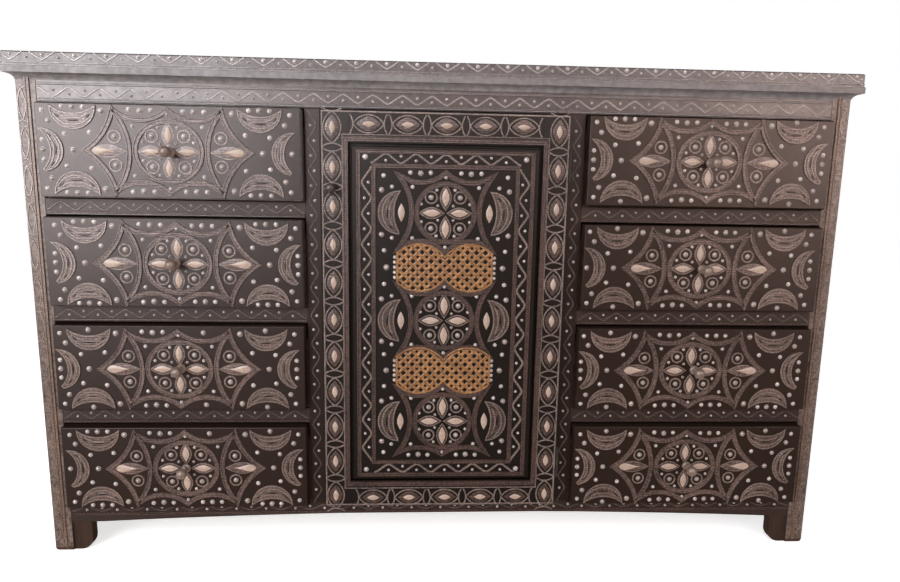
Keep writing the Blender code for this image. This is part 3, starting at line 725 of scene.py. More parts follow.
@dataclass(frozen=True)
class Emboss:
    """How far each kind of ornament stands out of its face, and turns patterns into pieces.

    A band's shoulder and slope are shares of its height, and a narrow band's rim and slope of its width.
    A nail's rim, dome and foot are shares of its height and radius. A pillow's steps are shares of its
    height, with how far its outline is drawn in. A crescent's arcs are shares of the way across it, with
    the points left off at their ends, and its slits are stretches of points with a share of their width.
    """

    band_height: float = 0.0024
    band_rim: float = 0.0026
    band_sunk: float = 0.0012
    shoulder: float = 0.35
    narrow_rim: float = 0.32
    slope: float = 0.3
    narrow_slope: float = 0.1
    leaf_height: float = 0.0012
    bone_height: float = 0.0026
    pillow: tuple[Point, ...] = ((0.50, 1.0), (0.33, 0.74), (0.17, 0.45))
    crescent_height: float = 0.0012
    crescent_wire: float = 0.0028
    arcs: tuple[tuple[float, int], ...] = ((0.27, 2), (0.70, 3))
    slit_width: float = 0.0056
    slit_line: float = 0.48
    slit_spans: tuple[tuple[int, int, float], ...] = ((5, 9, 1.0), (2, 4, 0.8), (10, 12, 0.8))
    bright_height: float = 0.0032
    dull_height: float = 0.0036
    nail_rim: float = 0.16
    dome_width: float = 0.86
    dome_foot: float = 0.2
    dome_angles: tuple[float, ...] = (0.0, 0.45, 0.85, 1.2)
    root: float = 0.0006
    stud_turns: int = 12

    def band_profile(self, width: float) -> Path:
        """A band with a raised rim along each edge and a sunk middle."""
        edge = width / 2
        shoulder = edge - self.band_height * self.shoulder
        rim = edge - min(self.band_rim, width * self.narrow_rim)
        floor = rim - min(self.band_height * self.slope, width * self.narrow_slope)
        low = self.band_height - self.band_sunk
        right = [(edge, -self.root), (shoulder, self.band_height), (rim, self.band_height), (floor, low)]
        return right + [(-u, height) for u, height in reversed(right)]

    @cache
    def dome(self, radius: float, height: float) -> bpy.types.Mesh:
        """A nail head: a thin rim and a dome, spun about its middle."""
        foot, rise = self.dome_foot, 1 - self.dome_foot
        arc = [(radius * self.dome_width * math.cos(angle), height * (foot + rise * math.sin(angle)))
               for angle in self.dome_angles]
        outline = [(radius, -self.root), (radius, height * self.nail_rim), *arc, (0.0, height)]
        return new_mesh("nail_head", spun(outline, self.stud_turns))

    def almond(self, form: Almond, height: float) -> bmesh.types.BMesh:
        """A pillowed almond or drop: its outline drawn out, then drawn in and up twice."""
        shape = bmesh.new()
        face = shape.faces.new([shape.verts.new((*point, -self.root)) for point in form.outline()])
        middle = Matrix.Translation((*form.middle(), 0.0))
        sunk = self.root
        for share, scale in self.pillow:
            grown = bmesh.ops.extrude_face_region(shape, geom=[face])["geom"]
            bmesh.ops.delete(shape, geom=[face], context="FACES_ONLY")
            face = next(item for item in grown if isinstance(item, bmesh.types.BMFace))
            bmesh.ops.scale(shape, vec=(scale, scale, 1.0), space=middle.inverted(), verts=face.verts)
            bmesh.ops.translate(shape, vec=(0, 0, sunk + height * share), verts=face.verts)
            sunk = 0.0
        bmesh.ops.holes_fill(shape, edges=[edge for edge in shape.edges if edge.is_boundary])
        bmesh.ops.recalc_face_normals(shape, faces=shape.faces)
        return shape

    def crescent(self, form: Crescent) -> bmesh.types.BMesh:
        """A crescent plate, bridged between its two edges and drawn up."""
        shape = bmesh.new()
        chains = []
        for path in form.edges():
            verts = [shape.verts.new((*point, -self.root)) for point in path[1:-1]]
            chains += [shape.edges.new(pair) for pair in zip(verts, verts[1:])]
        bmesh.ops.bridge_loops(shape, edges=chains)
        grown = bmesh.ops.extrude_face_region(shape, geom=list(shape.faces))["geom"]
        lifted = [item for item in grown if isinstance(item, bmesh.types.BMVert)]
        bmesh.ops.translate(shape, vec=(0, 0, self.root + self.crescent_height), verts=lifted)
        bmesh.ops.recalc_face_normals(shape, faces=shape.faces)
        return shape

    def crescent_wires(self, form: Crescent) -> list[bmesh.types.BMesh]:
        """The wire round a crescent plate, and the two arcs of wire across it."""
        outer, inner = form.edges()
        width = self.crescent_wire
        profile = [(u, level + self.crescent_height) for u, level in wire_profile(width)]
        strokes = [Stroke(outer + inner[-2:0:-1], width, True)]
        for share, trim in self.arcs:
            strokes.append(Stroke(form.between(share)[trim:-trim], width))
        return [swept(profile, stroke) for stroke in strokes]

    def slits(self, form: Crescent) -> list[bmesh.types.BMesh]:
        """The dark slits between a crescent's arcs of wire, as low lenses on its plate."""
        line = form.between(self.slit_line)
        made = []
        for first, last, size in self.slit_spans:
            lens = Almond(line[first], line[last], self.slit_width * size)
            made.append(self.almond(lens, self.crescent_height + self.root))
        return made

    def gather(self, name: str, parts: Iterable[bmesh.types.BMesh]) -> Optional[bpy.types.Mesh]:
        """Joins shapes into one mesh, or gives nothing where there are none."""
        whole = bmesh.new()
        for part in parts:
            mesh = bpy.data.meshes.new("part")
            part.to_mesh(mesh)
            part.free()
            whole.from_mesh(mesh)
            bpy.data.meshes.remove(mesh)
        if not whole.verts:
            whole.free()
            return None
        return new_mesh(name, whole)

    def heads(self, name: str, studs: list[Stud], height: float) -> Optional[bpy.types.Mesh]:
        """All the nail heads of one kind as one mesh."""
        whole = bmesh.new()
        for stud in studs:
            copy = self.dome(stud.radius, height).copy()
            copy.transform(Matrix.Translation((*stud.place, 0.0)))
            whole.from_mesh(copy)
            bpy.data.meshes.remove(copy)
        if not studs:
            whole.free()
            return None
        return new_mesh(name, whole)

    def press(self, pattern: Pattern, name: str, face: Face, body: str,
              tones: Tones = FRONT_TONES) -> None:
        """Makes a pattern's pieces, one for each kind of ornament.

        Args:
            pattern: what is drawn.
            name: how the pieces' names start.
            face: the face that they stand on.
            body: the body that they ride on.
            tones: the area's metal finishes.
        """
        bright = [stud for stud in pattern.studs if stud.kind is StudKind.BRIGHT]
        dull = [stud for stud in pattern.studs if stud.kind is StudKind.DULL]
        bands = (swept(self.band_profile(stroke.width), stroke) for stroke in pattern.bands)
        wires = [swept(wire_profile(stroke.width), stroke) for stroke in pattern.wires]
        for crescent in pattern.crescents:
            wires += self.crescent_wires(crescent)
        leaves = (self.almond(leaf, self.leaf_height) for leaf in pattern.leaves)
        bones = (self.almond(bone, self.bone_height) for bone in pattern.bones)
        crescents = (self.crescent(crescent) for crescent in pattern.crescents)
        slits = (part for crescent in pattern.crescents for part in self.slits(crescent))
        made = (
            ("bands", self.gather("bands", bands), tones.chased),
            ("wires", self.gather("wires", wires), tones.wire),
            ("leaves", self.gather("leaves", leaves), tones.chased),
            ("bones", self.gather("bones", bones), BONE),
            ("crescents", self.gather("crescents", crescents), tones.chased),
            ("slits", self.gather("slits", slits), tones.ground),
            ("bright_nails", self.heads("bright_nails", bright, self.bright_height), BRIGHT),
            ("dull_nails", self.heads("dull_nails", dull, self.dull_height), DULL),
        )
        for kind, mesh, finish in made:
            if mesh:
                put_piece(f"{name}_{kind}", mesh, face, finish, body)


EMBOSS = Emboss()


def put_object(name: str, data: bpy.types.ID) -> bpy.types.Object:
    """Puts a mesh, a lamp or a camera in the scene."""
    made = bpy.data.objects.new(name, data)
    bpy.context.scene.collection.objects.link(made)
    return made


def put_piece(name: str, mesh: bpy.types.Mesh, face: Face, finish: Finish, body: str) -> bpy.types.Object:
    """Places a mesh drawn on a face and makes it a piece that rides on a body.

    Args:
        name: the piece's name.
        mesh: its mesh, in the face's own directions.
        face: the face.
        finish: its finish.
        body: the CAD body that carries it.

    Returns:
        The piece.
    """
    mesh.transform(face.matrix)
    mesh.name = name
    mesh.materials.append(finish.material())
    piece = put_object(name, mesh)
    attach(piece, body)
    LOG.info("%s rides on %s with %d faces", name, body, len(mesh.polygons))
    return piece


def put_plate(name: str, face: Face, size: Point, thick: float, finish: Finish, body: str) -> None:
    """A thin sheet with softened edges, centred on a face."""
    shape = bmesh.new()
    bmesh.ops.create_cube(shape, size=1.0, matrix=Matrix.Diagonal((size[0], size[1], 2 * thick, 1.0)))
    rim = [edge for edge in shape.edges if all(vert.co.z > 0 for vert in edge.verts)]
    round_edges(shape, rim, thick * SHEET_ROUND, segments=2)
    mesh = new_mesh(name, shape)
    mesh.shade_flat()
    put_piece(name, mesh, face, finish, body)


def dress_node(name: str, finish: Finish) -> None:
    """Gives a CAD node its finish."""
    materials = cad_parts[name].data.materials
    materials.clear()
    materials.append(finish.material())


@dataclass(frozen=True)
class WaveStrip:
    """A wave of wire with a small nail in every hollow."""

    period: float
    rise: float
    wire: float = 0.0034
    dot: float = 0.0026
    straightness: float = 0.93
    nail_share: float = 0.45
    steps: int = 14

    def pattern(self, length: float, start_high: bool = False) -> Pattern:
        """The strip along u, centred, with a whole number of waves.

        Args:
            length: how far it runs.
            start_high: whether it starts at a crest and not at a hollow.

        Returns:
            The strip's pattern.
        """
        made = Pattern()
        count = max(1, round(length / self.period))
        period = length / count
        flip = 1 if start_high else -1
        total = count * self.steps
        path = []
        for step in range(total + 1):
            swing = math.cos(2 * math.pi * step / self.steps)
            height = math.asin(self.straightness * swing) / math.asin(self.straightness)
            path.append((step / total * length - length / 2, flip * self.rise * height))
        made.wires.append(Stroke(path, self.wire))
        for half in range(1, 2 * count):
            tip = flip if half % 2 == 0 else -flip
            place = (half * period / 2 - length / 2, -tip * self.rise * self.nail_share)
            made.stud(StudKind.BRIGHT, self.dot, place)
        return made


@dataclass(frozen=True)
class ChainStrip:
    """Almonds of wire in a row, with a lens of two bowed wires between each pair."""

    pitch: float
    width: float
    almond_length: float
    almond_width: float
    lens_end: float = 0.0016
    lens_swell: float = 0.0054
    wire: float = 0.0028
    lens_steps: int = 8

    def cell(self) -> Pattern:
        """One almond with half a lens at each end, along u."""
        made = Pattern()
        half = self.almond_length / 2
        side = self.almond_width / 2
        upper = bow((-half, 0), (0, side), (half, 0))
        lower = bow((half, 0), (0, -side), (-half, 0))
        made.wires.append(Stroke(upper + lower[1:-1], self.wire, True))
        end = self.pitch / 2 - self.lens_end
        wide = self.width / 2
        for sign in (-1, 1):
            swell = (sign * (end - self.lens_swell), 0)
            bowed = bow((sign * end, -wide), swell, (sign * end, wide), self.lens_steps)
            made.wires.append(Stroke(bowed, self.wire))
        return made


@dataclass(frozen=True)
class CupStrip:
    """Cups of wire with a nail in each and a small nail between each pair, over a hatched band."""

    period: float = 0.0535
    margin: float = 0.0130
    cup_half: float = 0.0205
    cup_low: float = -0.0012
    cup_rise: float = 0.0128
    cup_power: float = 1.2
    cup_steps: int = 6
    wire: float = 0.0030
    end_gap: float = 0.0020
    nail: float = 0.0036
    nail_height: float = 0.0072
    small_nail: float = 0.0024
    small_height: float = 0.0030
    band: float = 0.0070
    band_height: float = -0.0078

    def pattern(self, length: float) -> Pattern:
        """The strip along u, centred, with a whole number of cups."""
        made = Pattern()
        span = length - 2 * self.margin
        count = round(span / self.period)
        shares = [step / self.cup_steps for step in range(-self.cup_steps, self.cup_steps + 1)]
        rises = [self.cup_low + self.cup_rise * abs(share) ** self.cup_power for share in shares]
        for index in range(count + 1):
            u = index / count * span - span / 2
            cup = [(u + self.cup_half * share, rise) for share, rise in zip(shares, rises)]
            cup = [point for point in cup if abs(point[0]) < length / 2 - self.end_gap]
            made.wires.append(Stroke(cup, self.wire))
            made.stud(StudKind.BRIGHT, self.nail, (u, self.nail_height))
            if index:
                made.stud(StudKind.BRIGHT, self.small_nail, (u - span / count / 2, self.small_height))
        made.bands.append(straight(length, self.band_height, self.band))
        return made


@dataclass(frozen=True)
class Medallion:
    """The round rosette: a banded ring, a cross of bones in leaf settings, and four ringed nails."""

    ring_u: float = 0.0574
    ring_v: float = 0.0520
    band: float = 0.0098
    bone_from: Point = (0.0150, 0.0140)
    bone_to: Point = (0.0472, 0.0440)
    bone_width: float = 0.0122
    leaf_margin: float = 0.0058
    leaf_width: float = 0.0200
    eye: Point = (0.0278, 0.0268)
    eye_radius: float = 0.0106
    eye_wire: float = 0.0031
    eye_nail: float = 0.0047
    leaf_wire: float = 0.0019
    ring_steps: int = 56
    nails: tuple[NailSet, ...] = (
        NailSet(StudKind.BRIGHT, 0.0028, ((0.0165, 0.0415), (0.0440, 0.0160))),
        NailSet(StudKind.DULL, 0.0026, ((0.0140, 0.0130),)),
    )

    def ringed_nail(self, place: Point) -> Pattern:
        """A nail inside a ring of wire."""
        made = Pattern()
        made.ring(place, self.eye_radius, self.eye_wire)
        made.stud(StudKind.DULL, self.eye_nail, place)
        return made

    def pattern(self) -> Pattern:
        """The whole rosette about its middle."""
        quarter = self.ringed_nail(self.eye)
        quarter.nail(*self.nails)
        made = quarter.four_ways()
        ring = ellipse((0, 0), self.ring_u, self.ring_v, self.ring_steps)
        made.bands.append(Stroke(ring, self.band, True))
        near_u, near_v = self.bone_from
        far_u, far_v = self.bone_to
        margin = self.leaf_margin
        for sign in (-1, 1):
            made.bones.append(Almond((sign * near_u, 0), (sign * far_u, 0), self.bone_width))
            made.bones.append(Almond((0, sign * near_v), (0, sign * far_v), self.bone_width))
            start, end = sign * (near_u - margin), sign * (far_u + margin)
            made.wired_leaf(Almond((start, 0), (end, 0), self.leaf_width), self.leaf_wire)
            start, end = sign * (near_v - margin), sign * (far_v + margin)
            made.wired_leaf(Almond((0, start), (0, end), self.leaf_width), self.leaf_wire)
        return made


@dataclass
class Knob:
    """A turned knob: a stepped foot, a waisted neck with a collar, and a round head.

    The foot and neck are drawn in shares of the head's radius and of the way to the head's middle.
    """

    node: str
    body: str
    finish: Finish = KNOB
    foot: tuple[Point, ...] = ((0.0, 0.0), (0.86, 0.0), (0.86, 0.09), (0.78, 0.14), (0.62, 0.17))
    neck: tuple[Point, ...] = ((0.50, 0.24), (0.46, 0.34), (0.46, 0.44))
    collar: tuple[Point, ...] = ((0.60, 0.47), (0.60, 0.52), (0.47, 0.55))
    head_angles: range = range(-60, 90, 10)
    turns: int = 32

    def build(self) -> bpy.types.Mesh:
        """Spins the knob's outline about its axis, to the sizes of its CAD node."""
        low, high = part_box(self.node)
        reach = high.y - low.y
        radius = (high.x - low.x) / 2
        head = reach - radius
        outline = [(share * radius, rise * head) for share, rise in self.foot + self.neck + self.collar]
        angles = [math.radians(angle) for angle in self.head_angles]
        outline += [(radius * math.cos(angle), head + radius * math.sin(angle)) for angle in angles]
        outline.append((0.0, reach))
        return new_mesh("knob", spun(outline, self.turns))

    def dress(self) -> None:
        """Puts the knob in place of its CAD node."""
        face = Face.behind(self.node)
        piece = put_piece(self.node + "_turned", self.build(), face, self.finish, self.body)
        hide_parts(self.node)


@dataclass(frozen=True)
class Setting:
    """How one drawer was made by hand: its ornament's shift, how many nails each gap holds, and its edge's
    finish, which is lightened with painted glare on the two upper left drawers.

    The gaps are the crescents at the top left, top right, bottom left, bottom right, left and right,
    and then the scallops at the top right and bottom right.
    """

    shift: Point
    nails: tuple[int, ...]
    edge: Finish = EDGE_WOOD


SETTINGS = {
    # The first two left drawers' edges take painted glare: a window's haze painted into their edge colour.
    (Side.LEFT, 1): Setting((-0.0028, 0.0007), (3, 3, 3, 3, 3, 1, 3, 3), PAINTED_GLARE_EDGE),
    (Side.LEFT, 2): Setting((0.0036, -0.0013), (3, 3, 3, 3, 3, 3, 3, 3), PAINTED_HALF_GLARE_EDGE),
    (Side.LEFT, 3): Setting((-0.0027, -0.0015), (1, 1, 1, 1, 3, 3, 1, 1)),
    (Side.LEFT, 4): Setting((0.0004, -0.0004), (3, 1, 3, 3, 1, 3, 1, 3)),
    (Side.RIGHT, 1): Setting((-0.0032, 0.0018), (3, 1, 1, 1, 3, 3, 3, 3)),
    (Side.RIGHT, 2): Setting((-0.0058, 0.0003), (1, 1, 1, 1, 1, 3, 3, 3)),
    (Side.RIGHT, 3): Setting((-0.0070, -0.0014), (1, 1, 1, 3, 3, 3, 3, 3)),
    (Side.RIGHT, 4): Setting((-0.0040, -0.0015), (1, 1, 1, 1, 3, 3, 3, 3)),
}


@dataclass
class DrawerFront:
    """One drawer: its front's ornament about its middle, its knob and its box.

    A gap holds one broad nail, or that and a small one a step away on both sides of it.
    """

    side: Side
    row: int
    medallion: Medallion = Medallion()
    band: float = 0.0098
    wing_tip: Point = (0.1425, 0.0)
    wing_top: Point = (0.0930, 0.0700)
    wing_edge: Point = (0.1110, 0.0300)
    wing_inner: float = 0.0672
    wing_leaf: Almond = Almond((0.0730, 0.0), (0.1370, 0.0), 0.0215)
    wing_bone: Almond = Almond((0.0880, 0.0), (0.1310, 0.0), 0.0140, True)
    wing_eye: Point = (0.0915, 0.0245)
    scallop_dip: Point = (0.0460, 0.0535)
    scallop_point: float = 0.0715
    corner_crescent: Crescent = Crescent(((0.1215, 0.0745), (0.1975, 0.0745)), (0.1595, 0.0365),
                                         (0.1595, 0.0620))
    end_crescent: Crescent = Crescent(((0.2185, 0.0365), (0.2185, -0.0365)), (0.1800, 0.0), (0.2000, 0.0))
    gaps: tuple[Point, ...] = ((-0.1605, 0.0735), (0.1585, 0.0735), (-0.1605, -0.0735), (0.1585, -0.0735),
                               (-0.2145, 0.0), (0.2145, 0.0), (0.0455, 0.0690), (0.0455, -0.0690))
    gap_nail: float = 0.0047
    small_nail: float = 0.0040
    level_step: Point = (0.0180, 0.0)
    upright_step: Point = (0.0, 0.0168)
    quarter_nails: tuple[NailSet, ...] = (
        NailSet(StudKind.BRIGHT, 0.0041, ((0.2115, 0.0670), (0.1760, 0.0275), (0.1335, 0.0310))),
        NailSet(StudKind.BRIGHT, 0.0034, ((0.0600, 0.0430),)),
        NailSet(StudKind.DULL, 0.0047, ((0.2025, 0.0490),)),
        NailSet(StudKind.DULL, 0.0052, ((0.1120, 0.0670),)),
    )
    left_nails: tuple[NailSet, ...] = (
        NailSet(StudKind.BRIGHT, 0.0041, ((-0.0650, 0.0705), (-0.0275, 0.0700))),
        NailSet(StudKind.DULL, 0.0050, ((-0.0460, 0.0690),)),
    )
    middle_nails: tuple[NailSet, ...] = (
        NailSet(StudKind.DULL, 0.0050, ((0.1635, 0.0), (-0.1635, 0.0))),
        NailSet(StudKind.BRIGHT, 0.0032, ((0.0, 0.0640), (0.0, -0.0640))),
    )
    sheet: float = 0.0006
    margin: float = 0.0016

    @property
    def name(self) -> str:
        """The drawer's body."""
        return f"{self.side.value}_drawer_{self.row}"

    def bands(self) -> Pattern:
        """The two wings, and the scalloped band over and under the rosette."""
        made = Pattern()
        top, tip, edge = self.wing_top, self.wing_tip, self.wing_edge
        below = (top[0], -top[1])
        wing = bow(tip, edge, top, steps=6)
        wing += bow(top, (self.wing_inner, 0.0), below, steps=10)[1:]
        wing += bow(below, (edge[0], -edge[1]), tip, steps=6)[1:-1]
        scallop = bow(top, self.scallop_dip, (0.0, self.scallop_point), steps=8)
        scallop += [(-u, v) for u, v in reversed(scallop[:-1])]
        made.bands.append(Stroke(wing, self.band, True))
        made.bands.append(Stroke([(-u, v) for u, v in wing], self.band, True))
        made.bands.append(Stroke(scallop, self.band))
        made.bands.append(Stroke([(u, -v) for u, v in scallop], self.band))
        return made

    def gap_nails(self, nails: tuple[int, ...]) -> Pattern:
        """The nails inside the crescents and over the scallops, in an upright row at the two ends."""
        made = Pattern()
        for place, count in zip(self.gaps, nails):
            made.stud(StudKind.DULL, self.gap_nail, place)
            if count == 3:
                middle = Vector(place)
                step = Vector(self.level_step if place[1] else self.upright_step)
                made.stud(StudKind.BRIGHT, self.small_nail, tuple(middle + step), tuple(middle - step))
        return made

    def nails(self) -> Pattern:
        """The nails between the bands."""
        quarter = Pattern()
        quarter.nail(*self.quarter_nails)
        made = quarter.four_ways()
        left = Pattern()
        left.nail(*self.left_nails)
        made.add(left, left.mirrored(v=-1))
        made.nail(*self.middle_nails)
        return made

    def pattern(self) -> Pattern:
        """The whole front's ornament about its middle."""
        setting = SETTINGS[self.side, self.row]
        quarter = self.medallion.ringed_nail(self.wing_eye)
        quarter.crescents.append(self.corner_crescent)
        made = quarter.four_ways()
        half = Pattern()
        half.wired_leaf(self.wing_leaf, self.medallion.leaf_wire)
        half.bones.append(self.wing_bone)
        half.crescents.append(self.end_crescent)
        made.add(half.both_sides(), self.bands(), self.nails(), self.gap_nails(setting.nails))
        made.add(self.medallion.pattern())
        return made.shifted(*setting.shift)

    def dress(self) -> None:
        """Finishes the drawer's CAD nodes, lays a metal sheet on its front and presses the ornament on."""
        front = self.name + "_front"
        # On the two upper left drawers this edge finish is painted glare.
        dress_node(front, SETTINGS[self.side, self.row].edge)
        dress_node(self.name + "_box", INNER_WOOD)
        low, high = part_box(front)
        face = Face.front_of(front)
        size = (high.x - low.x - 2 * self.margin, high.z - low.z - 2 * self.margin)
        put_plate(self.name + "_sheet", face, size, self.sheet, GROUND, self.name)
        EMBOSS.press(self.pattern(), self.name, face.raised(self.sheet), self.name)
        Knob(self.name + "_knob", self.name).dress()


@dataclass
class Lattice:
    """A pierced plate's face: slanting bars both ways, cut off at a two-lobed rim.

    Every second row of holes is narrowed by collars. The section of a bar, a rim or a collar is in shares of
    its width and of the plate's thickness, and the rises are shares of that thickness too.
    """

    node: str
    body: str = "door"
    half_width: float = 0.0875
    end: float = 0.0270
    waist: float = 0.0195
    lobe_rise: float = 0.0205
    pitch: float = 0.0166
    row_shift: float = -0.0049
    bar: float = 0.0046
    rim: float = 0.0032
    collar: float = 0.0036
    collar_width: float = 0.0017
    thick: float = 0.0020
    section: tuple[Point, ...] = ((0.5, -0.1), (0.44, 0.80), (0.28, 1.0),
                                  (-0.28, 1.0), (-0.44, 0.80), (-0.5, -0.1))
    rim_rise: float = 1.1
    collar_rise: float = 0.8
    hole_margin: float = 1.04
    lobe_steps: int = 14
    collar_steps: int = 12
    bar_count: int = 14
    bar_ticks: int = 32
    shortest_bar: int = 4

    def upper_edge(self) -> Path:
        """The upper half of the rim, from left to right."""
        middle = Vector((self.half_width / 2, (self.end + self.waist) / 2))
        over = Vector((self.waist - self.end, self.half_width)).normalized()
        crest = tuple(middle + over * self.lobe_rise)
        right = bow((0.0, self.waist), crest, (self.half_width, self.end), self.lobe_steps)
        return [(-u, v) for u, v in reversed(right[1:])] + right

    def top_at(self, u: float) -> float:
        """How high the rim stands at a place across."""
        edge = self.upper_edge()
        for (u0, v0), (u1, v1) in zip(edge, edge[1:]):
            if u0 <= u <= u1:
                return v0 + (v1 - v0) * (u - u0) / (u1 - u0)
        return 0.0

    def inside(self, point: Vector) -> bool:
        """Whether a point lies within the rim."""
        return abs(point.x) < self.half_width and abs(point.y) < self.top_at(point.x)

    def bars(self) -> list[Stroke]:
        """The slanting bars, each as the stretches of its line that lie within the rim."""
        made = []
        reach = self.half_width + 3 * self.end
        step = self.pitch / self.bar_ticks
        for slope in (-1, 1):
            for index in range(-self.bar_count, self.bar_count + 1):
                foot = Vector((index * self.pitch, self.row_shift))
                way = Vector((1, slope)).normalized()
                run: list[Vector] = []
                for tick in range(round(-reach / step), round(reach / step) + 1):
                    point = foot + way * (tick * step)
                    if self.inside(point):
                        run.append(point)
                        continue
                    if len(run) > self.shortest_bar:
                        made.append(Stroke([tuple(run[0]), tuple(run[-1])], self.bar))
                    run = []
        return made

    def small_holes(self) -> list[Point]:
        """The middles of the holes that have collars."""
        count = int(self.half_width / self.pitch) + 1
        made = []
        for column in range(-count, count + 1):
            for row in range(-count, count + 1):
                point = Vector((column * self.pitch, (row + 0.5) * self.pitch + self.row_shift))
                if self.inside(point * self.hole_margin):
                    made.append(tuple(point))
        return made

    def sized(self, width: float, rise: float = 1.0) -> Path:
        """The section at a width and a rise."""
        level = self.thick * rise
        return [(u * width, v * level) for u, v in self.section]

    def dress(self) -> None:
        """Puts the barred face in place of its CAD plate."""
        edge = self.upper_edge()
        outline = edge + [(u, -v) for u, v in reversed(edge)]
        parts = [swept(self.sized(bar.width), bar) for bar in self.bars()]
        parts.append(swept(self.sized(self.rim, self.rim_rise), Stroke(outline, self.rim, True)))
        collar = self.sized(self.collar_width, self.collar_rise)
        for place in self.small_holes():
            ring = ellipse(place, self.collar, self.collar, self.collar_steps)
            parts.append(swept(collar, Stroke(ring, self.collar_width, True)))
        mesh = EMBOSS.gather(self.node, parts)
        face = Face.behind(self.node)
        piece = put_piece(self.node + "_bars", mesh, face, BRASS, self.body)
        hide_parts(self.node)


@dataclass(frozen=True)
class Bracket:
    """The upper half of a rosette's frame: its tip, its scallop's dip and its point on the middle line."""

    tip: Point
    dip: Point
    point: Point

    def below(self) -> "Bracket":
        """The same half turned over."""
        return Bracket(*((u, -v) for u, v in (self.tip, self.dip, self.point)))


@dataclass
class Door:
    """The door: its frame of set bones, its panel's border, three rosettes and two lattices.

    Heights are from the floor. The side nails are about a rosette's middle, the lattice nails about a
    lattice's, and the end nails about a line at the end reach from the first rosette's middle or the last's.
    """

    medallion: Medallion = Medallion(ring_u=0.0525, ring_v=0.0525, bone_from=(0.0088, 0.0115),
                                     bone_to=(0.0415, 0.0450), bone_width=0.0128, eye=(0.0262, 0.0280))
    heights: tuple[float, ...] = (0.6664, 0.4674, 0.2712)
    lattices: tuple[float, ...] = (0.5665, 0.3715)
    chain: ChainStrip = ChainStrip(pitch=0.0695, width=0.0340, almond_length=0.0545, almond_width=0.0315)
    chain_leaf: Almond = Almond((-0.0220, 0), (0.0220, 0), 0.0255)
    chain_bone: Almond = Almond((-0.0116, 0), (0.0116, 0), 0.0102)
    column: float = 0.2036
    column_top: float = 0.8146
    column_count: int = 11
    row_top: float = 0.8215
    row_bottom: float = 0.1140
    row_count: int = 5
    row_bottom_shift: float = 0.0070
    frame_wires: tuple[Border, ...] = (
        Border(0.2212, 0.0995, 0.8422, 0.0032),
        Border(0.1858, 0.1335, 0.8030, 0.0022),
    )
    frame_band: Border = Border(0.1803, 0.1425, 0.7958, 0.0102)
    field_bands: tuple[Border, ...] = (
        Border(0.1572, 0.1640, 0.7738, 0.0086),
        Border(0.1300, 0.1890, 0.7492, 0.0086),
    )
    wave: WaveStrip = WaveStrip(period=0.0540, rise=0.0084, wire=0.0042)
    wave_across: float = 0.270
    wave_top: float = 0.7622
    wave_bottom: float = 0.1762
    wave_bottom_shift: float = 0.006
    wave_side: float = 0.1428
    wave_gap: float = 0.030
    corner_nail: float = 0.0048
    corner_out: float = 0.002
    band: float = 0.0098
    waist: Point = (0.0612, 0.0)
    bracket: Bracket = Bracket((0.0885, 0.0685), (0.0455, 0.0504), (0.0, 0.0735))
    top_bracket: Bracket = Bracket((0.0875, 0.0690), (0.0455, 0.0545), (0.0, 0.0722))
    bottom_bracket: Bracket = Bracket((0.0875, 0.0655), (0.0455, 0.0520), (0.0, 0.0665))
    side_crescent: Crescent = Crescent(((0.0825, 0.0385), (0.0825, -0.0385)), (0.1215, 0.0), (0.0935, 0.0))
    side_bone: Almond = Almond((0.0800, -0.0168), (0.0800, 0.0168), 0.0122)
    side_nails: tuple[NailSet, ...] = (
        NailSet(StudKind.BRIGHT, 0.0036, ((0.060, 0.046), (0.097, 0.046))),
        NailSet(StudKind.DULL, 0.0048, ((0.1155, 0.040),)),
    )
    point_nails: NailSet = NailSet(StudKind.BRIGHT, 0.0034, ((0.0, 0.0640), (0.0, -0.0620)))
    end_reach: Point = (0.0715, 0.0680)
    end_nails: tuple[NailSet, ...] = (
        NailSet(StudKind.BRIGHT, 0.0040, ((0.064, 0.0), (0.0275, 0.0), (0.112, -0.006))),
        NailSet(StudKind.DULL, 0.0050, ((0.0455, -0.001),)),
    )
    lattice_nails: tuple[NailSet, ...] = (
        NailSet(StudKind.BRIGHT, 0.0040, ((0.111, 0.031), (0.111, -0.031))),
        NailSet(StudKind.DULL, 0.0052, ((0.107, 0.0),)),
        NailSet(StudKind.BRIGHT, 0.0032, tuple((0.0915, step * 0.0094) for step in range(-2, 3))),
    )
    body: str = "door"

    def frame_pattern(self) -> Pattern:
        """The frame: bones set in almonds of wire, between a bright edge wire and a hatched band."""
        made = Pattern()
        cell = self.chain.cell()
        cell.leaves.append(self.chain_leaf)
        cell.bones.append(self.chain_bone)
        for index in range(self.column_count):
            height = self.column_top - index * self.chain.pitch
            made.add(cell.upright().shifted(self.column, height).both_sides())
        for index in range(self.row_count):
            u = (index - (self.row_count - 1) / 2) * self.chain.pitch
            made.add(cell.shifted(u, self.row_top), cell.shifted(u + self.row_bottom_shift, self.row_bottom))
        made.wires += [border.stroke() for border in self.frame_wires]
        made.bands.append(self.frame_band.stroke())
        return made

    def border_pattern(self) -> Pattern:
        """The panel's border: a wave of wire with nails, between two hatched bands."""
        made = Pattern()
        top, bottom, side, out = self.wave_top, self.wave_bottom, self.wave_side, self.corner_out
        across_top = self.wave.pattern(self.wave_across)
        made.add(across_top.shifted(0, top), across_top.shifted(self.wave_bottom_shift, bottom))
        upright = self.wave.pattern(top - bottom - self.wave_gap).upright()
        made.add(upright.shifted(side, (top + bottom) / 2).both_sides())
        corners = Pattern()
        corners.stud(StudKind.BRIGHT, self.corner_nail, (side + out, top + out), (side + out, bottom - out))
        made.add(corners.both_sides())
        made.bands += [border.stroke() for border in self.field_bands]
        return made

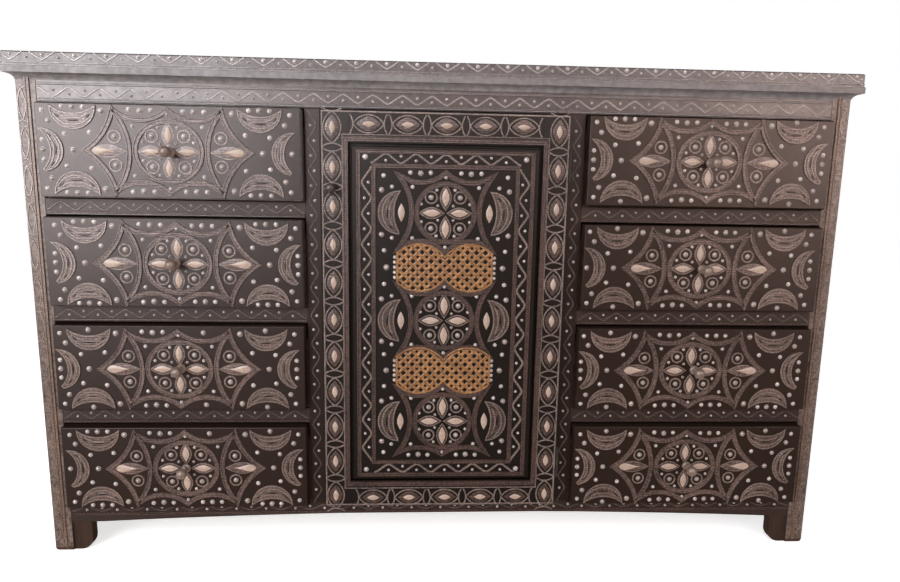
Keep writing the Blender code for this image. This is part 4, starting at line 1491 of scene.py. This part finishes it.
    def rosette(self, index: int) -> Pattern:
        """One rosette in its four-tipped frame, with crescents, upright bones and nails, about its middle."""
        made = self.medallion.pattern()
        upper = self.top_bracket if index == 0 else self.bracket
        lower = self.bottom_bracket if index == len(self.heights) - 1 else self.bracket
        lower = lower.below()
        outline = bow(upper.tip, self.waist, lower.tip, steps=10)
        outline += bow(lower.tip, lower.dip, lower.point, steps=7)[1:]
        outline += [(-u, v) for u, v in reversed(outline[:-1])]
        over = bow(upper.point, upper.dip, upper.tip, steps=7)
        outline += [(-u, v) for u, v in reversed(over[:-1])][1:] + over[1:-1]
        made.bands.append(Stroke(outline, self.band, True))
        quarter = Pattern()
        quarter.nail(*self.side_nails)
        half = Pattern()
        half.crescents.append(self.side_crescent)
        half.bones.append(self.side_bone)
        half.add(quarter.mirrored(v=-1), quarter)
        made.add(half.both_sides())
        made.nail(self.point_nails)
        return made

    def outer_nails(self) -> Pattern:
        """The nails over the first rosette and under the last, and those beside the lattices."""
        end = Pattern()
        end.nail(*self.end_nails)
        half = end.shifted(0, self.heights[0] + self.end_reach[0])
        half.add(end.mirrored(v=-1).shifted(0, self.heights[-1] - self.end_reach[1]))
        beside = Pattern()
        beside.nail(*self.lattice_nails)
        for height in self.lattices:
            half.add(beside.shifted(0, height))
        return half.both_sides()

    def dress(self) -> None:
        """Finishes the door's CAD nodes and presses the ornament on its frame and panel."""
        for node in ("left_stile", "right_stile", "top_rail", "bottom_rail", "panel"):
            dress_node("door_" + node, DEEP_GROUND)
        for node in ("upper_hinge_door_leaf", "lower_hinge_door_leaf"):
            dress_node(node, HINGE)
        frame_face = Face.front_of("door_left_stile").at_middle()
        EMBOSS.press(self.frame_pattern(), "door_frame", frame_face, self.body, tones=DEEP_TONES)
        panel = self.border_pattern()
        for index, height in enumerate(self.heights):
            panel.add(self.rosette(index).shifted(0, height))
        panel.add(self.outer_nails())
        panel_face = Face.front_of("door_panel").at_middle()
        EMBOSS.press(panel, "door_field", panel_face, self.body, tones=DEEP_TONES)
        for node in ("lattice_upper", "lattice_lower"):
            Lattice(node).dress()
        Knob("door_knob", self.body, DOOR_KNOB).dress()


@dataclass
class SideBoard:
    """A side board that runs down into two bracket feet, each widened inwards by a rounded block.

    It stands for its CAD board, with slimmer blocks and softer soles.
    """

    side: Side
    thick: float = 0.034
    foot_depth: float = 0.090
    foot_height: float = 0.059
    foot_round: float = 0.030
    arch_round: float = 0.012
    sole_round: float = 0.006
    block_width: float = 0.036
    block_depth: float = 0.024
    block_round: float = 0.022
    rear_round: float = 0.006
    set_back: float = 0.003
    arc_steps: int = 6
    body: str = "carcass"

    def outline(self, depth: float, height: float) -> Path:
        """The board seen from outside, with an arch between its feet.

        Args:
            depth: from its front edge to its back edge.
            height: from the floor to its top.

        Returns:
            The outline, which starts at the sole's corner.
        """
        lean = 1 - math.sqrt(0.5)
        heel, crown = lean * self.foot_round, lean * self.arch_round
        inner, arch = self.foot_depth, self.foot_height
        steps = self.arc_steps
        half = [(0.0, 0.0)]
        half += bow((inner - self.foot_round, 0.0), (inner - heel, heel), (inner, self.foot_round), steps)
        half += bow((inner, arch - self.arch_round), (inner + crown, arch - crown),
                    (inner + self.arch_round, arch), steps)
        return half + [(depth - u, v) for u, v in reversed(half)] + [(depth, height), (0.0, height)]

    def board(self, depth: float, height: float) -> bmesh.types.BMesh:
        """The board, pushed in from its outer face, with the outer edge of its feet and arch rounded."""
        shape = bmesh.new()
        outer = shape.faces.new([shape.verts.new((u, v, 0.0)) for u, v in self.outline(depth, height)])
        pushed = bmesh.ops.extrude_face_region(shape, geom=[outer])["geom"]
        inner = [item for item in pushed if isinstance(item, bmesh.types.BMVert)]
        bmesh.ops.translate(shape, verts=inner, vec=(0.0, 0.0, -self.thick))
        bmesh.ops.recalc_face_normals(shape, faces=shape.faces[:])

        def low_outside(vert: bmesh.types.BMVert) -> bool:
            """Whether a corner lies on the outer face's lower edge."""
            return vert.co.y < self.foot_height + EPSILON and vert.co.z > -EPSILON

        edges = [edge for edge in shape.edges if all(low_outside(vert) for vert in edge.verts)]
        round_edges(shape, edges, self.sole_round, segments=4)
        return shape

    def block(self, start: float, end: float) -> bmesh.types.BMesh:
        """A block inside a foot, with its lower inner edge well rounded and its rear edges softened.

        Args:
            start: where its face is, along the board.
            end: where its rear is.

        Returns:
            The block, in the same directions as the board.
        """
        size = (abs(end - start), self.foot_height, self.block_width)
        middle = Vector(((start + end) / 2, size[1] / 2, -self.thick - size[2] / 2))
        shape = bmesh.new()
        box = Matrix.Translation(middle) @ Matrix.Diagonal((*size, 1.0))
        bmesh.ops.create_cube(shape, size=1.0, matrix=box)

        def low_inside(vert: bmesh.types.BMVert) -> bool:
            """Whether a corner is one of the lower inner edge's."""
            return vert.co.y < middle.y and vert.co.z < middle.z

        def at_rear(edge: bmesh.types.BMEdge) -> bool:
            """Whether an edge is one of the rear face's free ones."""
            off_rear = max(abs(vert.co.x - end) for vert in edge.verts)
            below_top = min(vert.co.y for vert in edge.verts) < self.foot_height - EPSILON
            clear_of_board = min(vert.co.z for vert in edge.verts) < -self.thick - EPSILON
            return off_rear < EPSILON and below_top and clear_of_board

        lower = [edge for edge in shape.edges if all(low_inside(vert) for vert in edge.verts)]
        round_edges(shape, lower, self.block_round, segments=8)
        rear = [edge for edge in shape.edges if at_rear(edge)]
        round_edges(shape, rear, self.rear_round, segments=3)
        return shape

    def build(self) -> None:
        """Puts the board and its two blocks in place of the CAD board."""
        node = f"{self.side.value}_side"
        low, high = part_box(node)
        depth = high.y - low.y
        if self.side is Side.LEFT:
            ends = ("back", "front")
            face = Face(Vector((low.x, high.y, 0.0)), Vector((0, -1, 0)))
        else:
            ends = ("front", "back")
            face = Face(Vector((high.x, low.y, 0.0)), Vector((0, 1, 0)))
        board = new_mesh(node, self.board(depth, high.z))
        piece = put_piece(node + "_board", board, face, SIDE_WOOD, self.body)
        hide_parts(node)
        near, far = self.set_back, self.set_back + self.block_depth
        for end, start, stop in zip(ends, (near, depth - near), (far, depth - far)):
            block = new_mesh(node, self.block(start, stop))
            put_piece(f"{self.side.value}_{end}_foot_block", block, face, FOOT_WOOD, self.body)


@dataclass
class Cornice:
    """The plain moulding under the top's edge: a band in line with it, which a cove draws in to the case.

    Its reach is how far it stands out of the case's sides and out of its front.
    """

    reach: Point = (0.0134, 0.0186)
    lap: float = 0.0024
    lap_root: float = 0.84
    band: float = 0.0085
    drop: float = 0.0185
    lip: float = 0.96
    foot: float = 0.04
    buried: float = -0.03
    steps: int = 8
    body: str = "carcass"

    def band_section(self) -> Path:
        """The band's section: shares of the reach against depths under the top, whose edge it laps."""
        lapped = [(self.buried, 0.0), (self.lap_root, 0.0), (self.lap_root, -self.lap), (1.0, -self.lap)]
        return lapped + [(1.0, self.band), (self.buried, self.band)]

    def cove_section(self) -> Path:
        """The cove's section: shares of the reach against depths under the top."""
        made = [(self.buried, self.band)]
        for step in range(self.steps + 1):
            turn = step / self.steps * math.pi / 2
            share = self.foot + (self.lip - self.foot) * (1 - math.sin(turn))
            made.append((share, self.band + (self.drop - self.band) * (1 - math.cos(turn))))
        return made + [(self.buried, self.drop)]

    def run(self, name: str, section: Path, finish: Finish) -> bpy.types.Object:
        """Runs a section round both sides and the front.

        Args:
            name: the piece's name.
            section: the closed section.
            finish: its finish.

        Returns:
            The piece.
        """
        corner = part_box("left_side")[0]
        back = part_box("cornice")[1]
        shape = bmesh.new()
        rings = []
        for share, depth in section:
            x, y, z = corner.x - share * self.reach[0], corner.y - share * self.reach[1], back.z - depth
            path = ((x, back.y, z), (x, y, z), (-x, y, z), (-x, back.y, z))
            rings.append([shape.verts.new(point) for point in path])
        for ring, following in zip(rings, rings[1:] + rings[:1]):
            for index in range(3):
                shape.faces.new((ring[index], ring[index + 1], following[index + 1], following[index]))
        for end in (0, 3):
            shape.faces.new([ring[end] for ring in rings])
        bmesh.ops.recalc_face_normals(shape, faces=shape.faces[:])
        level = Face(Vector((0, 0, 0)), up=Vector((0, 1, 0)))
        return put_piece(name, new_mesh(name, shape), level, finish, self.body)

    def build(self) -> None:
        """Puts the band, which is matt on the case's sides, and the cove, whose pale colour is painted light
        on its shaded underside, in place of the CAD moulding.
        """
        band = self.run("cornice_band", self.band_section(), CORNICE)
        band.data.materials.append(END.material())
        for face in band.data.polygons:
            face.material_index = int(abs(face.normal.x) > 0.5)
        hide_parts("cornice")
        self.run("cornice_cove", self.cove_section(), PAINTED_LIGHT_COVE)


@dataclass
class Carcass:
    """The standing case: its boards, and the strips on its top's edge, rails, posts and partitions.

    A rail's band is its height and its width. The gaps keep a sheet or a strip clear of its face's edges.
    """

    sheet: float = 0.0006
    sheet_gap: float = 0.0010
    edge_strip: CupStrip = CupStrip()
    edge_sheet_gap: Point = (0.0020, 0.0030)
    edge_gap: float = 0.0060
    top_wave: WaveStrip = WaveStrip(period=0.0528, rise=0.0076, wire=0.0032)
    top_wave_height: float = 0.8656
    top_bands: tuple[Point, ...] = ((0.8798, 0.0052), (0.8526, 0.0056))
    bottom_wave: WaveStrip = WaveStrip(period=0.0560, rise=0.0048)
    bottom_wave_height: float = 0.0857
    bottom_band: Point = (0.0758, 0.0064)
    long_rail_gap: float = 0.0040
    rail_wave: WaveStrip = WaveStrip(period=0.0525, rise=0.0074, wire=0.0030, dot=0.0022)
    rail_wave_height: float = 0.0018
    rail_band: Point = (-0.0108, 0.0054)
    rail_gap: float = 0.0030
    post_chain: ChainStrip = ChainStrip(pitch=0.0660, width=0.0140, almond_length=0.0530, almond_width=0.0130,
                                        lens_end=0.0026, lens_swell=0.0034, wire=0.0024)
    post_foot: float = 0.0070
    post_top_gap: float = 0.0090
    chain_gap: float = 0.0060
    chain_shift: float = 0.0090
    post_band: float = 0.0090
    band_shift: float = -0.0026
    partition_wave: WaveStrip = WaveStrip(period=0.0530, rise=0.0072, wire=0.0028)
    partition_gap: float = 0.0020
    partition_wave_gap: float = 0.0040
    body: str = "carcass"

    def dress_boards(self) -> None:
        """Finishes the case's CAD nodes that no piece replaces."""
        for node in ("left_partition", "right_partition"):
            dress_node(node, SIDE_WOOD)
        dress_node("top_board", TOP_WOOD)
        dress_node("top_rail", SMOOTH)
        dress_node("bottom_rail", RAIL_GROUND)
        for node in ("bottom_board", "back_panel", "cupboard_shelf"):
            dress_node(node, INNER_WOOD)
        for side in Side:
            for row in RAIL_ROWS:
                dress_node(f"{side.value}_rail_{row}", RAIL_GROUND)
                dress_node(f"{side.value}_runner_{row}", INNER_WOOD)
        for node in ("upper_hinge_frame_leaf", "lower_hinge_frame_leaf"):
            dress_node(node, HINGE)

    def dress_top(self) -> None:
        """The strips round the front and both ends of the top."""
        low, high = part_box("top_board")
        middle_y, middle_z = (low.y + high.y) / 2, (low.z + high.z) / 2
        faces = (
            ("front", Face(Vector((0, low.y, middle_z))), high.x - low.x),
            ("left_end", Face(Vector((low.x, middle_y, middle_z)), Vector((0, -1, 0))), high.y - low.y),
            ("right_end", Face(Vector((high.x, middle_y, middle_z)), Vector((0, 1, 0))), high.y - low.y),
        )
        for name, face, length in faces:
            size = (length - self.edge_sheet_gap[0], high.z - low.z - self.edge_sheet_gap[1])
            metal, tones = (EDGE, EDGE_TONES) if name == "front" else (END, END_TONES)
            put_plate(f"top_{name}_sheet", face, size, self.sheet, metal, self.body)
            strip = self.edge_strip.pattern(length - self.edge_gap)
            EMBOSS.press(strip, f"top_{name}", face.raised(self.sheet), self.body, tones=tones)

    def dress_long_rails(self) -> None:
        """The strips on the rails over and under the drawers and the door."""
        low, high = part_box("top_rail")
        length = high.x - low.x - self.long_rail_gap
        top = self.top_wave.pattern(length, True).shifted(0, self.top_wave_height)
        top.bands += [straight(length, *band) for band in self.top_bands]
        EMBOSS.press(top, "top_rail", Face.front_of("top_rail", True), self.body, tones=EDGE_TONES)
        bottom = self.bottom_wave.pattern(length).shifted(0, self.bottom_wave_height)
        bottom.bands.append(straight(length, *self.bottom_band))
        EMBOSS.press(bottom, "bottom_rail", Face.front_of("bottom_rail", True), self.body, tones=RAIL_TONES)

    def dress_rail(self, node: str) -> None:
        """The strip on a rail between two drawers."""
        low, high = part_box(node)
        length = high.x - low.x - self.rail_gap
        strip = self.rail_wave.pattern(length).shifted(0, self.rail_wave_height)
        strip.bands.append(straight(length, *self.rail_band))
        EMBOSS.press(strip, node, Face.front_of(node), self.body, tones=RAIL_TONES)

    def dress_post(self, side: Side) -> None:
        """The sheet and the strip down a side board's front edge: a chain of almonds beside a band."""
        node = f"{side.value}_side"
        low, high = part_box(node)
        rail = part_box(f"{side.value}_rail_1")
        outer, inner = (low.x, rail[0].x) if side is Side.LEFT else (high.x, rail[1].x)
        foot, top = self.post_foot, high.z - self.post_top_gap
        face = Face(Vector(((outer + inner) / 2, low.y, 0.0)))
        size = (abs(outer - inner) - self.sheet_gap, top - foot)
        plate_face = Face(face.origin + Vector((0, 0, (top + foot) / 2)))
        put_plate(node + "_sheet", plate_face, size, self.sheet, POST, self.body)
        post = Pattern()
        cell = self.post_chain.cell().upright()
        count = int((size[1] - self.chain_gap) / self.post_chain.pitch)
        for index in range(count):
            height = top / 2 + (index - (count - 1) / 2) * self.post_chain.pitch
            post.add(cell.shifted(side.sign * self.chain_shift, height))
        place = side.sign * self.band_shift
        ends = [(place, foot + self.sheet_gap), (place, top - self.sheet_gap)]
        post.bands.append(Stroke(ends, self.post_band))
        EMBOSS.press(post, node, face.raised(self.sheet), self.body, POST_TONES)

    def dress_partition(self, side: Side) -> None:
        """The sheet and the strip down a partition's front edge."""
        node = f"{side.value}_partition"
        low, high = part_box(node)
        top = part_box("top_rail")[0].z - self.sheet_gap
        length = top - low.z - self.partition_gap
        middle = (top + low.z) / 2
        face = Face.front_of(node, True)
        size = (high.x - low.x - self.sheet_gap, length)
        plate_face = Face(face.origin + Vector((0, 0, middle)))
        put_plate(node + "_sheet", plate_face, size, self.sheet, GROUND, self.body)
        strip = self.partition_wave.pattern(length - self.partition_wave_gap).upright().shifted(0, middle)
        EMBOSS.press(strip, node, face.raised(self.sheet), self.body, RAIL_TONES)

    def dress(self) -> None:
        """Dresses the whole case."""
        for side in Side:
            SideBoard(side).build()
        Cornice().build()
        self.dress_boards()
        self.dress_top()
        self.dress_long_rails()
        for side in Side:
            for row in RAIL_ROWS:
                self.dress_rail(f"{side.value}_rail_{row}")
        for side in Side:
            self.dress_post(side)
            self.dress_partition(side)


@dataclass(frozen=True)
class Lamp:
    """A soft square lamp: where it stands, what it points at, its side and its power.

    One that is only reflected is a window's image in the metal and gives no other light.
    """

    name: str
    place: tuple[float, float, float]
    target: tuple[float, float, float]
    side: float
    power: float
    only_reflected: bool = False
    color: Color = (1.0, 1.0, 1.0)

    def build(self) -> None:
        """Puts the lamp in the scene."""
        data = bpy.data.lights.new(self.name, "AREA")
        data.color = self.color
        data.shape = "SQUARE"
        data.size = self.side
        data.energy = self.power
        lamp = put_object(self.name, data)
        lamp.location = self.place
        lamp.visible_diffuse = not self.only_reflected
        lamp.rotation_euler = (Vector(self.target) - Vector(self.place)).to_track_quat("-Z", "Y").to_euler()


@dataclass(frozen=True)
class FloorPaint(Finish):
    """A pale floor with the faintest mottling, which keeps the object's shadow."""

    glow: float = 0.75

    def paint(self, graph: Graph, shader: bpy.types.Node) -> None:
        """A matt pale colour, lifted a little where it is seen directly."""
        mottle = graph.noise(graph.place(), 3.0)
        color = graph.blend(mottle, self.dark, self.light)
        graph.put(shader.inputs["Base Color"], color)
        graph.put(shader.inputs["Roughness"], 0.9)
        graph.put(shader.inputs["Emission Color"], self.light)
        graph.put(shader.inputs["Emission Strength"], graph.math("MULTIPLY", graph.seen(), self.glow))


FLOOR = FloorPaint("pale_floor", (0.80, 0.80, 0.80), (0.86, 0.86, 0.86))


@dataclass
class Studio:
    """The floor, the lights and the camera at the photograph's angle."""

    lens: float = 25.6
    sensor: float = 36.0
    place: tuple[float, float, float] = (-0.0511, -1.37355, 0.7130)
    yaw: float = 3.023
    pitch: float = 9.196
    roll: float = 1.014
    ambient: float = 0.34
    floor_half: float = 9.0
    lamps: tuple[Lamp, ...] = (
        Lamp("key", (-1.9, -2.5, 1.55), (-0.2, -0.2, 0.55), 1.6, 54.0),
        Lamp("front_fill", (1.5, -2.9, 1.7), (0.1, -0.2, 0.4), 1.8, 18.0),
        Lamp("window", (-1.90, -2.46, 1.50), (-0.6, -0.2, 0.85), 1.9, 1520.0, True, (0.97, 0.95, 0.99)),
        Lamp("far_window", (2.20, -2.46, 1.50), (0.6, -0.2, 0.85), 1.4, 410.0, True, (1.0, 0.81, 0.76)),
        Lamp("low_left_glow", (-2.30, -2.10, 0.52), (-0.75, -0.2, 0.3), 1.0, 95.0, True, (1.0, 0.90, 0.86)),
        Lamp("low_right_glow", (2.40, -2.10, 0.52), (0.75, -0.2, 0.3), 1.0, 45.0, True, (1.0, 0.84, 0.78)),
        Lamp("upper_glow", (0.10, -2.46, 2.60), (0.1, -0.2, 0.95), 2.6, 610.0, True, (0.98, 0.96, 1.0)),
    )

    def build_camera(self) -> None:
        """The camera, turned by its yaw, its pitch down and its roll."""
        yaw, pitch, roll = (math.radians(angle) for angle in (self.yaw, self.pitch, self.roll))
        level = math.cos(pitch)
        ahead = Vector((math.sin(yaw) * level, math.cos(yaw) * level, -math.sin(pitch)))
        right = Vector((math.cos(yaw), -math.sin(yaw), 0.0))
        up = right.cross(ahead)
        turned_right = right * math.cos(roll) + up * math.sin(roll)
        turned_up = up * math.cos(roll) - right * math.sin(roll)
        columns = (turned_right, turned_up, -ahead)
        turn = Matrix([[column[row] for column in columns] for row in range(3)])
        data = bpy.data.cameras.new("camera")
        data.lens = self.lens
        data.sensor_width = self.sensor
        data.sensor_fit = "HORIZONTAL"
        camera = put_object("camera", data)
        camera.matrix_world = Matrix.Translation(self.place) @ turn.to_4x4()
        bpy.context.scene.camera = camera

    def build_world(self) -> None:
        """Even light all round, and plain white where the camera or a reflection sees past the floor."""
        world = bpy.data.worlds.new("studio")
        world.use_nodes = True
        graph = Graph(world.node_tree)
        shader = world.node_tree.nodes["Background"]
        through = graph.add("LightPath").outputs["Is Transmission Ray"]
        seen = graph.math("MAXIMUM", graph.seen(), through)
        graph.put(shader.inputs["Color"], (1.0, 1.0, 1.0))
        graph.put(shader.inputs["Strength"], graph.between(seen, self.ambient, 1.0))
        bpy.context.scene.world = world

    def build_floor(self) -> None:
        """A wide pale floor."""
        shape = bmesh.new()
        bmesh.ops.create_grid(shape, x_segments=8, y_segments=8, size=self.floor_half)
        floor = put_object("floor", new_mesh("floor", shape))
        floor.data.materials.append(FLOOR.material())

    def build(self) -> None:
        """Builds the studio."""
        self.build_camera()
        self.build_world()
        self.build_floor()
        for lamp in self.lamps:
            lamp.build()
        bpy.context.scene.view_settings.view_transform = "Standard"


def main() -> None:
    """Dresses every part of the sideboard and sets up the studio."""
    logging.basicConfig(level=logging.INFO, format="%(message)s")
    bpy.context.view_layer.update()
    Carcass().dress()
    for side in Side:
        for row in DRAWER_ROWS:
            DrawerFront(side, row).dress()
    Door().dress()
    Studio().build()


if __name__ == "__main__":
    main()
